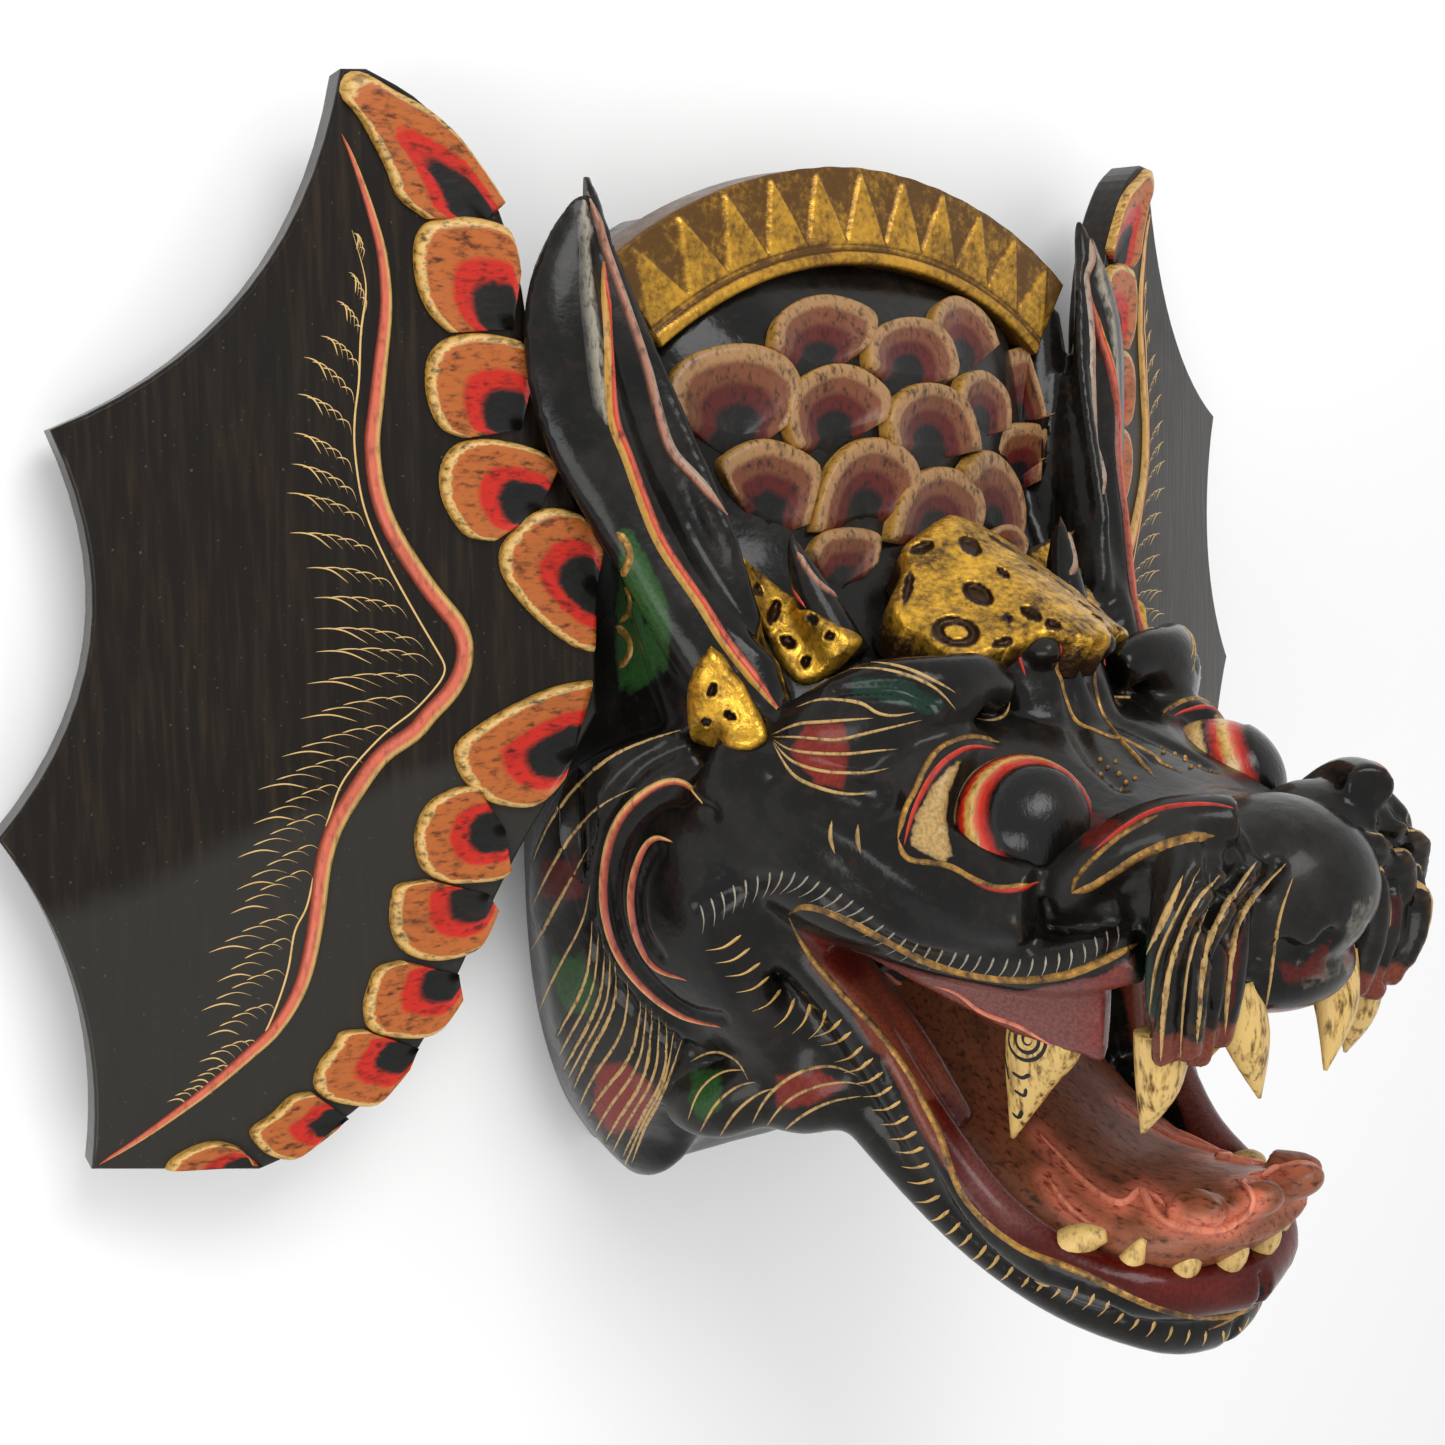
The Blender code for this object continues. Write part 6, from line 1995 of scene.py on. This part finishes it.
@dataclass
class GoldLeaf:
    """A gilded plate with an uneven edge and dark holes, draped over the carving."""

    name: str
    rim: tuple[Pixel, ...]
    holes: tuple[Hole, ...]
    lift: float = 2.6 * MM
    spacing: float = 3.0
    ease: int = 16
    edge_width: float = 9.0
    edge_height: float = 0.6 * MM
    ring_height: float = 0.7 * MM
    skirt: float = 5.0
    seam: tuple[Pixel, ...] = ()
    seam_reach: Pixel = (26.0, -18.0)
    seam_edge: Pixel = (80.0, -50.0)
    seam_skirt: float = 14.0
    ramp_place: tuple[float, float, float] = (0.0, 46.5, 139.5)
    ramp_normal: tuple[float, float, float] = (0.0, 0.872, 0.49)
    ramp_slope: float = 0.42
    ramp_round: float = 7.0 * MM

    def ramp_depth(self, ray: Vector) -> float:
        """How far a ray runs to the ramp, which droops to both sides of the middle."""
        eye = Vector(VIEW.place)
        place, normal = Vector(self.ramp_place) * MM, Vector(self.ramp_normal)
        depth = (place - eye).dot(normal) / ray.dot(normal)
        for _ in range(24):
            droop = self.droop((eye + ray * depth).x)
            depth = 0.5 * depth + 0.5 * ((place - eye).dot(normal) - droop) / ray.dot(normal)
        return depth

    def droop(self, x: float) -> float:
        """How far the ramp lies below its middle line at a distance from it."""
        return self.ramp_slope * (math.hypot(x, self.ramp_round) - self.ramp_round)

    def build(self, surface: Surface) -> None:
        """Makes the plate."""
        if self.seam:
            near = [tuple(p) for p in catmull(self.rim, len(self.rim) * 6)]
            rim, edge = ([*near, *((x + dx, y + dy) for x, y in self.seam)]
                         for dx, dy in (self.seam_reach, self.seam_edge))
        else:
            rim = [tuple(p) for p in catmull((*self.rim, self.rim[0]), len(self.rim) * 6)][:-1]
            edge = rim
        xs, ys = [p[0] for p in rim], [p[1] for p in rim]
        points = [Vector(p) for p in rim]
        edges = [(i, (i + 1) % len(rim)) for i in range(len(rim))]
        grid_x = np.arange(min(xs), max(xs), self.spacing)
        grid_y = np.arange(min(ys), max(ys), self.spacing)
        spots = np.array([(x + (row % 2) * self.spacing / 2, y)
                          for row, y in enumerate(grid_y) for x in grid_x])
        keep = Sculptor.inside(spots, rim) > self.spacing * 0.6
        points.extend(Vector(p) for p in spots[keep])
        found = geometry.delaunay_2d_cdt(points, edges, [list(range(len(rim)))], 1, 1e-4)
        flat = np.array([tuple(p) for p in found[0]])
        faces = [face for face in found[2] if len(face) == 3]
        eye = Vector(VIEW.place)
        rays = [VIEW.ray(tuple(p)) for p in flat]
        depths = []
        for ray in rays:
            hit = None if self.seam else surface.tree.ray_cast(eye, ray)[0]
            depths.append(self.ramp_depth(ray) if self.seam else (hit - eye).length if hit else np.nan)
        depths = np.array(depths)
        depths[np.isnan(depths)] = np.nanmedian(depths)
        pairs = {tuple(sorted((f[i], f[(i + 1) % 3]))) for f in faces for i in range(3)}
        a, b = np.array(list(pairs)).T
        degree = np.bincount(np.concatenate([a, b]), minlength=len(flat))
        for _ in range(0 if self.seam else self.ease):
            total = np.bincount(a, depths[b], len(flat)) + np.bincount(b, depths[a], len(flat))
            depths = depths * 0.5 + 0.5 * total / degree
        margin = np.maximum(Sculptor.inside(flat, edge), 0.0)
        rise = self.lift * np.sqrt(np.clip(margin / self.edge_width, 0.0, 1.0)) + self.edge_height
        hollow = np.zeros(len(flat))
        for hole in self.holes:
            c, s = math.cos(math.radians(hole.turn)), math.sin(math.radians(hole.turn))
            dx, dy = flat[:, 0] - hole.centre[0], flat[:, 1] - hole.centre[1]
            away = np.hypot((dx * c + dy * s) / hole.radii[0], (dy * c - dx * s) / hole.radii[1])
            dark = smooth_step(1.15, 0.75, away)
            if hole.ringed:
                dark *= smooth_step(0.5, 0.72, away)
            hollow = np.maximum(hollow, dark)
            rise += self.ring_height * np.exp(-((away - 1.35) / 0.3) ** 2)
        rise -= hollow * self.lift * 1.1
        bm = bmesh.new()
        layer = bm.verts.layers.float.new("hollow")
        tops = []
        for ray, depth, up, deep in zip(rays, depths, rise, hollow):
            vert = bm.verts.new(eye + ray * (depth - up))
            vert[layer] = deep * 2.2
            tops.append(vert)
        for face in faces:
            bm.faces.new([tops[i] for i in face])
        bmesh.ops.bisect_plane(bm, geom=[*bm.verts, *bm.edges, *bm.faces], plane_co=(0, 0, 0),
                               plane_no=(1, 0, 0), clear_outer=True)
        for vert in bm.verts:
            vert.co.x = 0.0 if vert.co.x > -1e-5 else vert.co.x
        boundary = [e for e in bm.edges
                    if len(e.link_faces) == 1 and not all(v.co.x == 0.0 for v in e.verts)]
        skirt = bmesh.ops.extrude_edge_only(bm, edges=boundary)["geom"]
        for vert in (g for g in skirt if isinstance(g, bmesh.types.BMVert)):
            vert.co += (Vector(self.ramp_normal) * -self.seam_skirt * MM if self.seam
                        else (vert.co - eye).normalized() * self.skirt * MM)
            vert[layer] = 1.0
        bmesh.ops.recalc_face_normals(bm, faces=bm.faces)
        Maker.mirror(bm)
        bmesh.ops.remove_doubles(bm, verts=[v for v in bm.verts if v.co.x == 0.0], dist=1e-5)
        Maker.dress(Maker.object_from(bm, self.name), Finishes.leaf, Slot.HEAD)


LEAVES = (
    GoldLeaf("ear_ornaments", ((739, 554), (760, 572), (780, 588), (807, 607), (832, 622), (862, 638),
        (848, 660), (832, 674), (809, 685), (793, 680), (776, 657), (763, 630), (751, 602)), (Hole((774, 612),
        (5, 12), 20.0), Hole((788, 642), (8, 5), 30.0), Hole((812, 619), (6, 4), 40.0), Hole((830, 636),
        (5, 4)), Hole((806, 662), (4, 6), 10.0), Hole((758, 590), (4, 6), -20.0))),
    GoldLeaf("ear_pendants", ((711, 646), (724, 656), (732, 669), (744, 684), (753, 701), (762, 718),
        (768, 737), (752, 750), (722, 748), (700, 744), (690, 735), (687, 697), (692, 674), (701, 658)),
        (Hole((712, 690), (4, 7), 20.0), Hole((730, 716), (6, 4), 30.0), Hole((706, 722), (4, 4)))),
    GoldLeaf("nose_ornament", ((1093, 643), (1061, 637), (1042, 637), (1019, 645), (994, 654), (975, 660),
        (952, 658), (934, 646), (917, 633), (901, 625), (889, 604), (899, 582), (905, 564), (901, 552),
        (912, 539), (932, 524)), (Hole((978, 594), (16, 9), 30.0), Hole((970, 546), (12, 7), 35.0),
        Hole((922, 548), (12, 5), -20.0), Hole((1031, 614), (11, 5), 30.0), Hole((1053, 625), (8, 4), 20.0),
        Hole((1003, 643), (10, 4), -15.0), Hole((908, 588), (4, 15), 12.0), Hole((956, 632), (23, 14), 10.0,
        True), Hole((1003, 573), (8, 3), 40.0), Hole((1008, 618), (5, 3), 20.0)), seam=((939, 519),
        (962, 536), (985, 552), (1010, 570), (1038, 594), (1066, 618), (1090, 638))),
)


@dataclass
class FangMarks:
    """Painted spiral and small marks on the side fangs."""

    centre: Pixel = (1029, 1040)
    widest: float = 21.0
    turns: float = 2.6
    marks: tuple[tuple[Pixel, ...], ...] = (
        ((1012, 1072), (1022, 1078), (1030, 1074)), ((1014, 1090), (1024, 1096), (1026, 1088)),
        ((1004, 1046), (1006, 1062), (1009, 1080)), ((1012, 1112), (1018, 1118), (1022, 1110)))

    def build(self, fangs: bpy.types.Object) -> None:
        """Makes the marks."""
        ribbons = Ribbons(Surface(fangs))
        spiral = []
        for i in range(70):
            t = i / 69
            angle = math.tau * self.turns * t
            reach = self.widest * (0.14 + 0.86 * t)
            spiral.append((self.centre[0] + reach * math.cos(angle),
                           self.centre[1] + reach * math.sin(angle) * 1.1))
        for line in (tuple(spiral), *self.marks):
            ribbons.lay(ribbons.surface.path(line, 0.8 * MM, 1), 2.0 * MM, 0.25 * MM, cord)
        ribbons.build("fang_marks", Finishes.dark_line, Slot.HEAD)


def main() -> None:
    """Builds the scene, one sub-assembly after the other."""
    logging.basicConfig(level=logging.INFO, format="%(message)s")
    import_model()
    VIEW.build()
    Studio().build()
    Wings().build()
    head = HeadCarving().build()
    surface = Surface(head)
    Maker.dress(head, Lacquer(), Slot.HEAD, "head")
    Crown().build()
    ForeheadScales().build(surface)
    Eyes().build()
    FangMarks().build(Fangs().build())
    Tongue().build()
    LineWork().build(surface)
    for leaf in LEAVES:
        leaf.build(surface)


if __name__ == "__main__":
    main()
